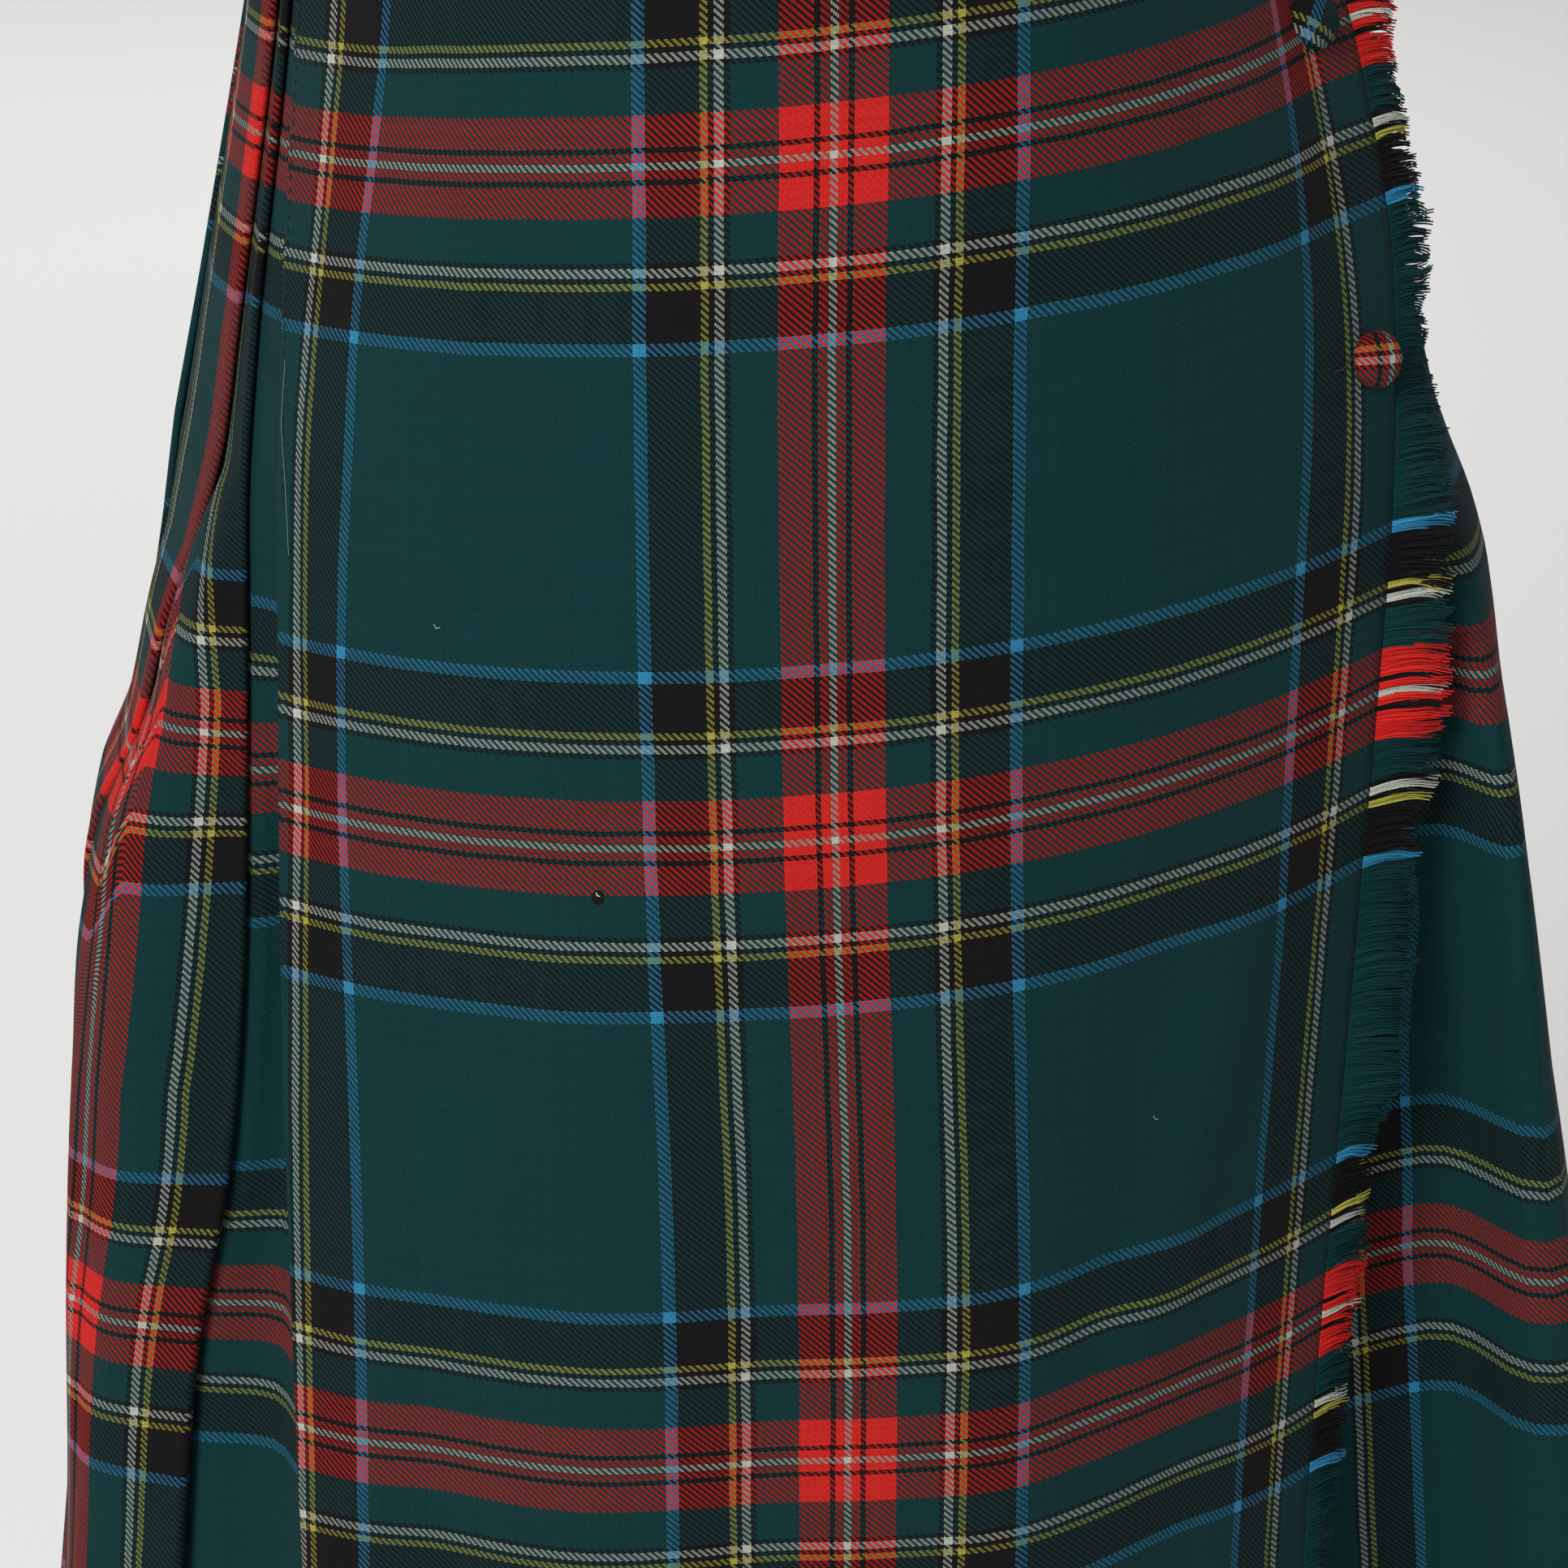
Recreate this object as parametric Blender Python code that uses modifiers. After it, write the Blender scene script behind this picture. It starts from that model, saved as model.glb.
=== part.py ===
"""Kilted midi skirt: a flat front apron wrapped over knife-pleated widths.

Metres, +Z up. The origin is the centre of the waist, at the top edge of the
waistband. The front faces -Y and the fringed wrap edge is on the +X side.
Every piece of cloth follows one body form: closed rings that are worked out
from the sections below. A place on the cloth is given by its depth under the
waist, its run along the ring from the middle of the front (positive towards
+X) and its level, the number of cloth layers that lie between it and the form.
"""
import bpy
import bmesh
import numpy as np
from math import cos, pi, sin
from mathutils import Vector

# Driving sizes, in metres
SKIRT_LENGTH = 0.780
BAND_HEIGHT = 0.036
BAND_WALL = 0.0020
CLOTH = 0.0010
LAYER = 0.0014
SEAM = 0.0003

# Body form: one row for each section
# depth below the waist, half width left and right, front depth, back depth, roundness of
# the front's left and right (2 is an ellipse), turn about Z in radians, centre x and y,
# and how far the middle of the front apron lies from the section's own foremost point
SECTION_COLUMNS = ("depth", "left", "right", "front", "back", "round_left", "round_right",
                   "turn", "centre_x", "centre_y", "middle")
SECTIONS = (
    (0.000, 0.118, 0.116, 0.128, 0.080, 1.95, 2.05, 0.030, -0.005, 0.018, 0.010),
    (0.081, 0.129, 0.129, 0.144, 0.105, 1.85, 2.10, 0.047, -0.004, 0.016, 0.008),
    (0.181, 0.155, 0.168, 0.152, 0.130, 2.03, 2.10, 0.070, 0.002, 0.008, -0.002),
    (0.280, 0.182, 0.190, 0.160, 0.150, 2.16, 1.86, 0.105, 0.007, 0.000, -0.012),
    (0.379, 0.207, 0.208, 0.170, 0.165, 2.21, 1.55, 0.147, 0.012, -0.008, -0.022),
    (0.479, 0.224, 0.228, 0.175, 0.178, 2.30, 1.45, 0.185, 0.015, -0.015, -0.032),
    (0.780, 0.262, 0.264, 0.200, 0.215, 2.30, 1.70, 0.190, 0.014, -0.024, -0.034),
)
BACK_ROUNDNESS = 2.1

# Depths at which the cloth of the panels has a ring of points
PANEL_DEPTHS = (BAND_HEIGHT + SEAM, 0.085, 0.135, 0.180, 0.215, 0.250, 0.290, 0.335, 0.385,
                0.440, 0.500, 0.590, 0.685, SKIRT_LENGTH)
BAND_DEPTHS = (0.0, 0.018, BAND_HEIGHT)

# Front apron: run of its left fold and of its right woven edge, by depth
APRON_COLUMNS = ("depth", "left_fold", "right_edge")
APRON_EDGES = (
    (0.036, -0.157, 0.160),
    (0.105, -0.153, 0.160),
    (0.180, -0.148, 0.158),
    (0.265, -0.143, 0.152),
    (0.370, -0.142, 0.150),
    (0.480, -0.139, 0.145),
    (0.780, -0.136, 0.140),
)
APRON_LEVEL = 2.0
FOLD_STAND = 0.8
EDGE_CLEAR = 0.006

# Runs of the points that the panels at the front share, so that they lie parallel
FRONT_RUNS = np.linspace(-0.120, 0.126, 13)

# Under apron: flat panel inside, from its free edge to its seam with the right width
UNDER_FREE_EDGE = -0.128
UNDER_SEAM = 0.112

# Waistband: heights of its inner and outer turns over the form
BAND_INNER = -0.0004
BAND_OUTER = 0.0024
BAND_POINTS = 30

# Knife pleats: the outer folds all point the same way, from the right side round the back
PLEATS = 16
PLEATS_PER_WIDTH = 4
# run of the first fold, gap from the last fold to the apron's fold, gap from that fold
# to the one before it, cloth turned in under a fold, height of a layer in LAYER units
PLEAT_COLUMNS = ("depth", "first_fold", "last_gap", "next_gap", "turned_in", "spread")
PLEAT_ROWS = (
    (0.036, 0.210, 0.003, 0.008, 0.018, 1.0),
    (0.130, 0.232, 0.006, 0.009, 0.020, 1.0),
    (0.185, 0.245, 0.011, 0.011, 0.022, 1.0),
    (0.215, 0.255, 0.013, 0.015, 0.024, 1.1),
    (0.245, 0.268, 0.013, 0.035, 0.025, 1.2),
    (0.285, 0.287, 0.013, 0.061, 0.026, 1.3),
    (0.330, 0.305, 0.014, 0.080, 0.027, 1.5),
    (0.380, 0.325, 0.020, 0.090, 0.028, 1.8),
    (0.430, 0.338, 0.033, 0.095, 0.029, 2.1),
    (0.490, 0.352, 0.041, 0.100, 0.030, 2.5),
    (0.780, 0.410, 0.075, 0.120, 0.036, 4.0),
)
TURNED_IN_SHARE = 0.6
PANEL_SHARES = (0.30, 0.65, 1.0)
PANEL_LIFTS = (0.50, 1.30, 2.0)

# Panel of the first pleat, beside the wrap edge: how far it has left the form, and the plan
# places of its near side, its trough, its ridge, its corner and its side
FIRST_PANEL_COLUMNS = ("depth", "flare", "x1", "y1", "x2", "y2", "x3", "y3", "x4", "y4",
                       "x5", "y5")
FIRST_PANEL = (
    (0.215, 0.0, 0.148, -0.092, 0.168, -0.080, 0.174, -0.082, 0.180, -0.078, 0.188, -0.052),
    (0.250, 0.7, 0.148, -0.092, 0.168, -0.080, 0.176, -0.086, 0.182, -0.080, 0.188, -0.052),
    (0.290, 1.0, 0.150, -0.095, 0.172, -0.083, 0.184, -0.094, 0.190, -0.087, 0.194, -0.058),
    (0.390, 1.0, 0.146, -0.100, 0.179, -0.084, 0.200, -0.103, 0.209, -0.095, 0.214, -0.058),
    (0.480, 1.0, 0.144, -0.110, 0.186, -0.092, 0.206, -0.113, 0.225, -0.107, 0.231, -0.070),
    (0.780, 1.0, 0.150, -0.160, 0.207, -0.133, 0.236, -0.158, 0.262, -0.148, 0.271, -0.092),
)

# Panel of the last pleat, beside the apron's fold: the same for its side, its corner and
# the flat that ends in its fold
LAST_PANEL_COLUMNS = ("depth", "flare", "x1", "y1", "x2", "y2", "x3", "y3")
LAST_PANEL = (
    (0.240, 0.0, -0.164, -0.086, -0.161, -0.096, -0.152, -0.106),
    (0.270, 0.8, -0.169, -0.086, -0.164, -0.098, -0.154, -0.108),
    (0.300, 1.0, -0.177, -0.098, -0.168, -0.115, -0.157, -0.122),
    (0.360, 1.0, -0.182, -0.120, -0.175, -0.133, -0.163, -0.140),
    (0.420, 1.0, -0.188, -0.125, -0.182, -0.135, -0.172, -0.144),
    (0.480, 1.0, -0.192, -0.130, -0.188, -0.141, -0.181, -0.149),
    (0.780, 1.0, -0.232, -0.150, -0.222, -0.166, -0.207, -0.178),
)

# Fringe on the apron's woven edge
FRINGE_STRANDS = 140
FRINGE_LENGTH = 0.017
FRINGE_STRIP = 0.0016
FRINGE_THICK = 0.0009
FRINGE_TIP = 0.0006
FRINGE_FILL = 0.62
FRINGE_LIFT = 0.003
FRINGE_DROOP = 0.0033
# angles from one strand to the next in the two waves that vary the strands, and how far
# they vary a strand's droop, lift and length, as shares
FRINGE_WAVES = (2.4, 0.9)
DROOP_CHANGE = 0.27
LIFT_CHANGE = 0.30
LENGTH_CHANGE = 0.12

# Covered buttons: run in from the wrap edge, depth below the waist, height of the face
# that each one lies on
BUTTON_RADIUS = 0.0070
BUTTON_HEIGHT = 0.0050
BUTTON_SIDES = 20
BUTTON_RINGS = 4
BUTTON_SEAT = 0.0005
# height of the rim as a share of the button's, and the foot's corners as shares of the
# radius and of the rim's height
BUTTON_RIM = 0.35
BUTTON_FOOT = ((0.94, 0.35), (0.78, 0.0), (0.0, 0.0))
BAND_FACE = BAND_OUTER + BAND_WALL / 2
APRON_FACE = APRON_LEVEL * LAYER + CLOTH / 2
BUTTONS = (
    ("button_waist", 0.015, 0.018, BAND_FACE),
    ("button_upper", 0.0165, 0.108, APRON_FACE),
    ("button_lower", 0.009, 0.186, APRON_FACE),
)

# Mean colours of the checked cloth, its frayed yarn and the covered buttons
CLOTH_COLOUR = (0.022, 0.040, 0.040, 1.0)
YARN_COLOUR = (0.120, 0.042, 0.036, 1.0)
BUTTON_COLOUR = (0.030, 0.034, 0.034, 1.0)
WOOL_ROUGHNESS = 0.85

# Points of a ring, length over which its direction is read, and the angle above which a
# fold is shaded sharp
RING_POINTS = 360
TANGENT_SPAN = 0.004
SHARP_FOLD = pi / 5


def column(table, names, name, depth):
    """Value of a table's column at a depth, on a smooth curve through its rows."""
    rows = np.array(table)
    xs = rows[:, 0]
    ys = rows[:, names.index(name)]
    slopes = np.gradient(ys, xs)
    i = int(np.clip(np.searchsorted(xs, depth) - 1, 0, len(xs) - 2))
    h = xs[i + 1] - xs[i]
    t = (np.clip(depth, xs[0], xs[-1]) - xs[i]) / h
    return ((2 * t**3 - 3 * t**2 + 1) * ys[i] + (t**3 - 2 * t**2 + t) * h * slopes[i]
            + (-2 * t**3 + 3 * t**2) * ys[i + 1] + (t**3 - t**2) * h * slopes[i + 1])


class Ring:
    """Closed body section at one depth, read by the run from the front's middle."""

    def __init__(self, depth):
        self.depth = depth
        size = {n: column(SECTIONS, SECTION_COLUMNS, n, depth) for n in SECTION_COLUMNS[1:]}
        angle = np.linspace(-pi, pi, RING_POINTS + 1)
        side, ahead = np.sin(angle), np.cos(angle)
        half = np.where(side < 0, size["left"], size["right"])
        reach = np.where(ahead > 0, size["front"], size["back"])
        power = 2 / np.where(ahead < 0, BACK_ROUNDNESS,
                             np.where(side < 0, size["round_left"], size["round_right"]))
        x = half * np.sign(side) * np.abs(side) ** power
        y = -reach * np.sign(ahead) * np.abs(ahead) ** power
        turn = size["turn"]
        self.x = np.cos(turn) * x - np.sin(turn) * y + size["centre_x"]
        self.y = np.sin(turn) * x + np.cos(turn) * y + size["centre_y"]
        steps = np.hypot(np.diff(self.x), np.diff(self.y))
        run = np.concatenate([[0.0], np.cumsum(steps)])
        self.length = run[-1]
        self.run = run - run[RING_POINTS // 2] - size["middle"]

    def wrap(self, run):
        low = self.run[0]
        return (run - low) % self.length + low

    def at(self, run):
        run = self.wrap(run)
        return np.array([np.interp(run, self.run, self.x), np.interp(run, self.run, self.y)])

    def point(self, run, height):
        """Plan place at a run, moved out from the form by a height."""
        along = self.at(run + TANGENT_SPAN) - self.at(run - TANGENT_SPAN)
        along /= np.linalg.norm(along)
        return self.at(run) + height * np.array([along[1], -along[0]])


def wall_sides(path, thickness):
    """Outer and inner sides of a wall round a plan path, with mitred corners."""
    step = np.diff(path, axis=0)
    step /= np.linalg.norm(step, axis=1)[:, None]
    normal = np.stack([step[:, 1], -step[:, 0]], axis=1)
    before = np.vstack([normal[:1], normal])
    after = np.vstack([normal, normal[-1:]])
    mitre = before + after
    mitre /= (1 + np.sum(before * after, axis=1))[:, None]
    return path + mitre * thickness / 2, path - mitre * thickness / 2


def finish(name, bm, collection, colour=CLOTH_COLOUR):
    """Make the named object with its own wool material."""
    bmesh.ops.recalc_face_normals(bm, faces=bm.faces)
    mesh = bpy.data.meshes.new(name)
    bm.to_mesh(mesh)
    bm.free()
    mesh.shade_smooth()
    mesh.set_sharp_from_angle(angle=SHARP_FOLD)
    material = bpy.data.materials.new(name + "_wool")
    material.use_nodes = True
    shader = material.node_tree.nodes["Principled BSDF"]
    shader.inputs["Base Color"].default_value = colour
    shader.inputs["Roughness"].default_value = WOOL_ROUGHNESS
    shader.inputs["Metallic"].default_value = 0.0
    mesh.materials.append(material)
    thing = bpy.data.objects.new(name, mesh)
    collection.objects.link(thing)
    return thing


def cloth_wall(name, paths, depths, collection, thickness=CLOTH):
    """Closed wall lofted through plan paths, one for each depth, top to bottom.

    A path has the same points at each depth. Its quads are cut along the same
    way in the ring, whichever way the path runs there, so that folded layers
    keep their distance where the form is twisted.
    """
    bm = bmesh.new()
    rings = []
    for path, depth in zip(paths, depths):
        outer, inner = wall_sides(np.array(path), thickness)
        loop = np.vstack([outer, inner[::-1]])
        rings.append([bm.verts.new((x, y, -depth)) for x, y in loop])
    count = len(rings[0])
    for upper, lower in zip(rings, rings[1:]):
        for i in range(count):
            j = (i + 1) % count
            a, b, c, d = upper[i], upper[j], lower[j], lower[i]
            if turns_left(a, b):
                faces = ((a, b, c), (a, c, d))
            else:
                faces = ((a, b, d), (b, c, d))
            for face in faces:
                bm.faces.new(face)
    for ring in (rings[0], rings[-1]):
        half = count // 2
        for i in range(half - 1):
            bm.faces.new((ring[i], ring[i + 1], ring[count - 2 - i], ring[count - 1 - i]))
    return finish(name, bm, collection)


def turns_left(a, b):
    """True where the step from a to b goes anticlockwise round the body."""
    return a.co.x * b.co.y - a.co.y * b.co.x > 0


def pleat_size(name, depth):
    return column(PLEAT_ROWS, PLEAT_COLUMNS, name, depth)


def fold_runs(ring):
    """Runs of the pleats' outer folds at a ring, from the right side round the back."""
    depth = ring.depth
    last = ring.length + apron_left(depth) - pleat_size("last_gap", depth)
    even = np.linspace(pleat_size("first_fold", depth), last - pleat_size("next_gap", depth), PLEATS - 1)
    return np.append(even, last)


def panel_points(ring, number, start, inner, fold):
    """Plan points of a pleat's panel between its start and its fold."""
    depth = ring.depth
    layer = LAYER * pleat_size("spread", depth)
    if number == 0:
        table, names, end = FIRST_PANEL, FIRST_PANEL_COLUMNS, inner
    elif number == PLEATS - 1:
        table, names, end = LAST_PANEL, LAST_PANEL_COLUMNS, fold
    else:
        return [ring.point(start + share * (inner - start), lift * layer)
                for share, lift in zip(PANEL_SHARES, PANEL_LIFTS)]
    flare = column(table, names, "flare", depth)
    count = (len(names) - 2) // 2
    points = []
    for i in range(1, count + 1):
        share = i / (count + 1)
        near = ring.point(start + share * (end - start), 2 * share * layer)
        off = np.array([column(table, names, axis + str(i), depth) for axis in "xy"])
        points.append(near + flare * (off - near))
    if number == 0:
        points.append(ring.point(inner, 2 * layer))
    return points


def pleat_path(ring, first, last):
    """Plan path of a width of cloth that holds the pleats first to last.

    It starts and ends inside a fold, apart from the first width, which starts
    at its seam under the apron, and the last, which ends as the underlay of
    the inverted pleat beside the apron.
    """
    depth = ring.depth
    layer = LAYER * pleat_size("spread", depth)
    folds = fold_runs(ring)
    starts = np.append(apron_right(depth) + EDGE_CLEAR, folds[:-1])
    inner = folds - np.minimum(pleat_size("turned_in", depth), TURNED_IN_SHARE * (folds - starts))
    path = []
    if first == 0:
        path += [ring.point(run, 0.0) for run in (UNDER_SEAM + SEAM, FRONT_RUNS[-1])]
    else:
        path.append(ring.point(inner[first - 1], 0.0))
    for k in range(first, last + 1):
        path.append(ring.point(starts[k], 0.0))
        path += panel_points(ring, k, starts[k], inner[k], folds[k])
        for run, lift in ((folds[k], 2), (folds[k], 1), (inner[k], 1)):
            path.append(ring.point(run, lift * layer))
        if k < last or last == PLEATS - 1:
            path.append(ring.point(inner[k], 0.0))
    if last == PLEATS - 1:
        underlay = (folds[last], apron_left(depth), UNDER_FREE_EDGE, *FRONT_RUNS[:2])
        path += [ring.point(run, 0.0) for run in underlay]
    return path


def apron_left(depth):
    return column(APRON_EDGES, APRON_COLUMNS, "left_fold", depth)


def apron_right(depth):
    return column(APRON_EDGES, APRON_COLUMNS, "right_edge", depth)


def apron_path(ring):
    """Plan path of the front apron: return under the left fold, then the panel."""
    left, right = apron_left(ring.depth), apron_right(ring.depth)
    stand = FOLD_STAND * (pleat_size("spread", ring.depth) - 1)
    lower = APRON_LEVEL - 1 + stand
    path = [ring.point(run, lower * LAYER) for run in (FRONT_RUNS[0], UNDER_FREE_EDGE, left)]
    for run in (left, UNDER_FREE_EDGE, FRONT_RUNS[0]):
        path.append(ring.point(run, (APRON_LEVEL + stand) * LAYER))
    for run in (*FRONT_RUNS[1:], (FRONT_RUNS[-1] + right) / 2, right):
        path.append(ring.point(run, APRON_LEVEL * LAYER))
    return path


def under_path(ring):
    """Plan path of the under apron, one layer further in at its free edge."""
    runs = (UNDER_FREE_EDGE, *FRONT_RUNS[:-1], UNDER_SEAM)
    return [ring.point(run, LAYER * ((run > FRONT_RUNS[2]) - 1)) for run in runs]


def band_path(ring):
    """Plan path of the waistband: once round, then on over its own start at the front."""
    right = apron_right(BAND_HEIGHT)
    left = ring.length + UNDER_FREE_EDGE
    front = (*FRONT_RUNS, (FRONT_RUNS[-1] + right) / 2)
    path = [ring.point(run, BAND_INNER) for run in (UNDER_FREE_EDGE, *front)]
    for share in np.linspace(0, 1, BAND_POINTS):
        height = BAND_INNER + share * (BAND_OUTER - BAND_INNER)
        path.append(ring.point(right + share * (left - right), height))
    path += [ring.point(ring.length + run, BAND_OUTER) for run in (*front, right)]
    return path


def edge_point(rings, depth, beyond, height):
    """Place beyond the wrap edge, on the straight runs between a wall's rings."""
    depths = [ring.depth for ring in rings]
    i = int(np.clip(np.searchsorted(depths, depth) - 1, 0, len(rings) - 2))
    share = (depth - depths[i]) / (depths[i + 1] - depths[i])
    upper, lower = (ring.point(apron_right(ring.depth) + beyond, height) for ring in rings[i:i + 2])
    return Vector((*(upper * (1 - share) + lower * share), -depth))


def fringe(rings, collection):
    """Strip along the apron's woven edge with its frayed strands, as one solid.

    The strip is a square bar in cells, one for each strand and one for each
    gap. A strand grows from its cell's outer face and ends in a flat tip.
    """
    top, bottom = PANEL_DEPTHS[0], PANEL_DEPTHS[-1]
    pitch = (bottom - top) / FRINGE_STRANDS
    depths = [top + pitch * (i + part) for i in range(FRINGE_STRANDS) for part in (0.0, FRINGE_FILL)]
    depths.append(bottom)
    middle = APRON_LEVEL * LAYER
    front, back = middle + FRINGE_THICK / 2, middle - FRINGE_THICK / 2
    corners = ((SEAM, front), (SEAM + FRINGE_STRIP, front), (SEAM + FRINGE_STRIP, back), (SEAM, back))
    bm = bmesh.new()
    bars = [[bm.verts.new(edge_point(rings, depth, *corner)) for corner in corners] for depth in depths]
    for cell, (upper, lower) in enumerate(zip(bars, bars[1:])):
        for i in (0, 2, 3):
            j = (i + 1) % 4
            bm.faces.new((upper[i], upper[j], lower[j], lower[i]))
        root = (upper[1], upper[2], lower[2], lower[1])
        if cell % 2:
            bm.faces.new(root)
            continue
        number = cell // 2
        wave = sum(sin(number * step) for step in FRINGE_WAVES) / len(FRINGE_WAVES)
        depth = min(depths[cell] + FRINGE_DROOP * (1 + DROOP_CHANGE * wave), bottom)
        height = middle + FRINGE_LIFT * (1 + LIFT_CHANGE * wave)
        reach = FRINGE_LENGTH * (1 + LENGTH_CHANGE * wave)
        tip = [bm.verts.new(edge_point(rings, depth, reach, height + side * FRINGE_TIP / 2))
               for side in (1, -1)]
        front_top, back_top, back_low, front_low = root
        bm.faces.new((front_top, back_top, tip[1], tip[0]))
        bm.faces.new((front_low, tip[0], tip[1], back_low))
        bm.faces.new((front_top, tip[0], front_low))
        bm.faces.new((back_top, back_low, tip[1]))
    bm.faces.new(bars[0])
    bm.faces.new(bars[-1])
    return finish("apron_fringe", bm, collection, YARN_COLOUR)


def button(name, inset, depth, face, rings, collection):
    """Covered button: a turned dome with a rolled rim, seated on a face of the cloth."""
    rim = BUTTON_HEIGHT * BUTTON_RIM
    profile = [(0.0, BUTTON_HEIGHT)]
    for i in range(1, BUTTON_RINGS + 1):
        angle = pi / 2 * i / BUTTON_RINGS
        profile.append((BUTTON_RADIUS * sin(angle), rim + (BUTTON_HEIGHT - rim) * cos(angle)))
    profile += [(BUTTON_RADIUS * across, rim * up) for across, up in BUTTON_FOOT]
    bm = bmesh.new()
    verts = [bm.verts.new((x, 0.0, z)) for x, z in profile]
    for a, b in zip(verts, verts[1:]):
        bm.edges.new((a, b))
    thing = finish(name, bm, collection, BUTTON_COLOUR)
    turned = thing.modifiers.new("turned", "SCREW")
    turned.steps = turned.render_steps = BUTTON_SIDES
    turned.use_merge_vertices = True
    turned.merge_threshold = 0.00001
    turned.use_smooth_shade = True
    ends = (-BUTTON_RADIUS, BUTTON_RADIUS)
    above, below = (edge_point(rings, depth + end, -inset, face) for end in ends)
    behind, ahead = (edge_point(rings, depth, end - inset, face) for end in ends)
    out = (above - below).cross(behind - ahead).normalized()
    thing.location = (above + below) / 2 + out * BUTTON_SEAT
    thing.rotation_euler = out.to_track_quat("Z", "Y").to_euler()
    return thing


def main():
    for thing in list(bpy.data.objects):
        bpy.data.objects.remove(thing, do_unlink=True)
    skirt = bpy.data.collections.new("pleated_skirt")
    bpy.context.scene.collection.children.link(skirt)
    rings = [Ring(depth) for depth in PANEL_DEPTHS]
    names = ("pleats_right", "pleats_back_right", "pleats_back_left", "pleats_left")
    for i, name in enumerate(names):
        first = i * PLEATS_PER_WIDTH
        paths = [pleat_path(ring, first, first + PLEATS_PER_WIDTH - 1) for ring in rings]
        cloth_wall(name, paths, PANEL_DEPTHS, skirt)
    cloth_wall("front_apron", [apron_path(ring) for ring in rings], PANEL_DEPTHS, skirt)
    cloth_wall("under_apron", [under_path(ring) for ring in rings], PANEL_DEPTHS, skirt)
    band_rings = [Ring(depth) for depth in BAND_DEPTHS]
    cloth_wall("waistband", [band_path(ring) for ring in band_rings], BAND_DEPTHS, skirt, BAND_WALL)
    fringe(rings, skirt)
    for name, inset, depth, face in BUTTONS:
        button(name, inset, depth, face, band_rings if depth < BAND_HEIGHT else rings, skirt)


main()
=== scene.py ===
"""Visual model of a pleated wrap skirt in checked wool twill.

Metres, +Z up. The origin is the middle of the waist at the top edge of the
waistband, the front faces -Y and the fringed wrap edge is on the +X side.
The cloth follows the same body sections, folds and edges as the solids. A
place on it is given by its depth under the waist, its run along the body's
ring from the middle of the front, and its height over the body's form.
"""
from math import cos, pi, radians, sin

import bmesh
import bpy
import numpy as np
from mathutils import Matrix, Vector


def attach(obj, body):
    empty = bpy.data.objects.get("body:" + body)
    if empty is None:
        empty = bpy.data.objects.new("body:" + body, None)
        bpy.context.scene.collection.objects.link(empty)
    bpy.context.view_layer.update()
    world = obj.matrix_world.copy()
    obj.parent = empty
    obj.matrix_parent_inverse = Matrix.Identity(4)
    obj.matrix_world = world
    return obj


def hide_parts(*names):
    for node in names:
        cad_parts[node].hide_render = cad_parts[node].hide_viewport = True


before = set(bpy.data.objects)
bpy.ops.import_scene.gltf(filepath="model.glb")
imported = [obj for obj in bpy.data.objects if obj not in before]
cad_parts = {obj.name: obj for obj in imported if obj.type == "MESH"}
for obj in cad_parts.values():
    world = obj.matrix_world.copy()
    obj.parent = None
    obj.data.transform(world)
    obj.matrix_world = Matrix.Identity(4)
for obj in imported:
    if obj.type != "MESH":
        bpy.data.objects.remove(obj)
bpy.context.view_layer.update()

bl_info = {
    "name": "Pleated Wrap Skirt",
    "version": (1, 0, 0),
    "blender": (4, 5, 0),
    "location": "3D View > Sidebar > Skirt",
    "description": "Makes the cloth, fringe, buttons and stitching of a pleated wrap skirt",
    "category": "Add Mesh",
}

# Sizes that the solids have too
SKIRT_LENGTH = 0.780
BAND_HEIGHT = 0.036
BAND_WALL = 0.0020
LAYER = 0.0014
SEAM = 0.0003

# Body form: half width left and right, front and back depth, roundness of the front's
# left and right, turn about Z, centre, and how far the apron's middle lies off the form's
SECTION_COLUMNS = ("depth", "left", "right", "front", "back", "round_left", "round_right",
                   "turn", "centre_x", "centre_y", "middle")
SECTIONS = (
    (0.000, 0.118, 0.116, 0.128, 0.080, 1.95, 2.05, 0.030, -0.005, 0.018, 0.010),
    (0.081, 0.129, 0.129, 0.144, 0.105, 1.85, 2.10, 0.047, -0.004, 0.016, 0.008),
    (0.181, 0.155, 0.168, 0.152, 0.130, 2.03, 2.10, 0.070, 0.002, 0.008, -0.002),
    (0.280, 0.182, 0.190, 0.160, 0.150, 2.16, 1.86, 0.105, 0.007, 0.000, -0.012),
    (0.379, 0.207, 0.208, 0.170, 0.165, 2.21, 1.55, 0.147, 0.012, -0.008, -0.022),
    (0.479, 0.224, 0.228, 0.175, 0.178, 2.30, 1.45, 0.185, 0.015, -0.015, -0.032),
    (0.780, 0.262, 0.264, 0.200, 0.215, 2.30, 1.70, 0.190, 0.014, -0.024, -0.034),
)
BACK_ROUNDNESS = 2.1

APRON_COLUMNS = ("depth", "left_fold", "right_edge")
APRON_EDGES = (
    (0.036, -0.157, 0.160),
    (0.105, -0.153, 0.160),
    (0.180, -0.148, 0.158),
    (0.265, -0.143, 0.152),
    (0.370, -0.142, 0.150),
    (0.480, -0.139, 0.145),
    (0.780, -0.136, 0.140),
)
APRON_LEVEL = 2.0
FOLD_STAND = 0.8
EDGE_CLEAR = 0.006
FRONT_RUNS = np.linspace(-0.120, 0.126, 13)
UNDER_FREE_EDGE = -0.128
UNDER_SEAM = 0.112
BAND_INNER = -0.0004
BAND_OUTER = 0.0024
BAND_POINTS = 30

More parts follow.
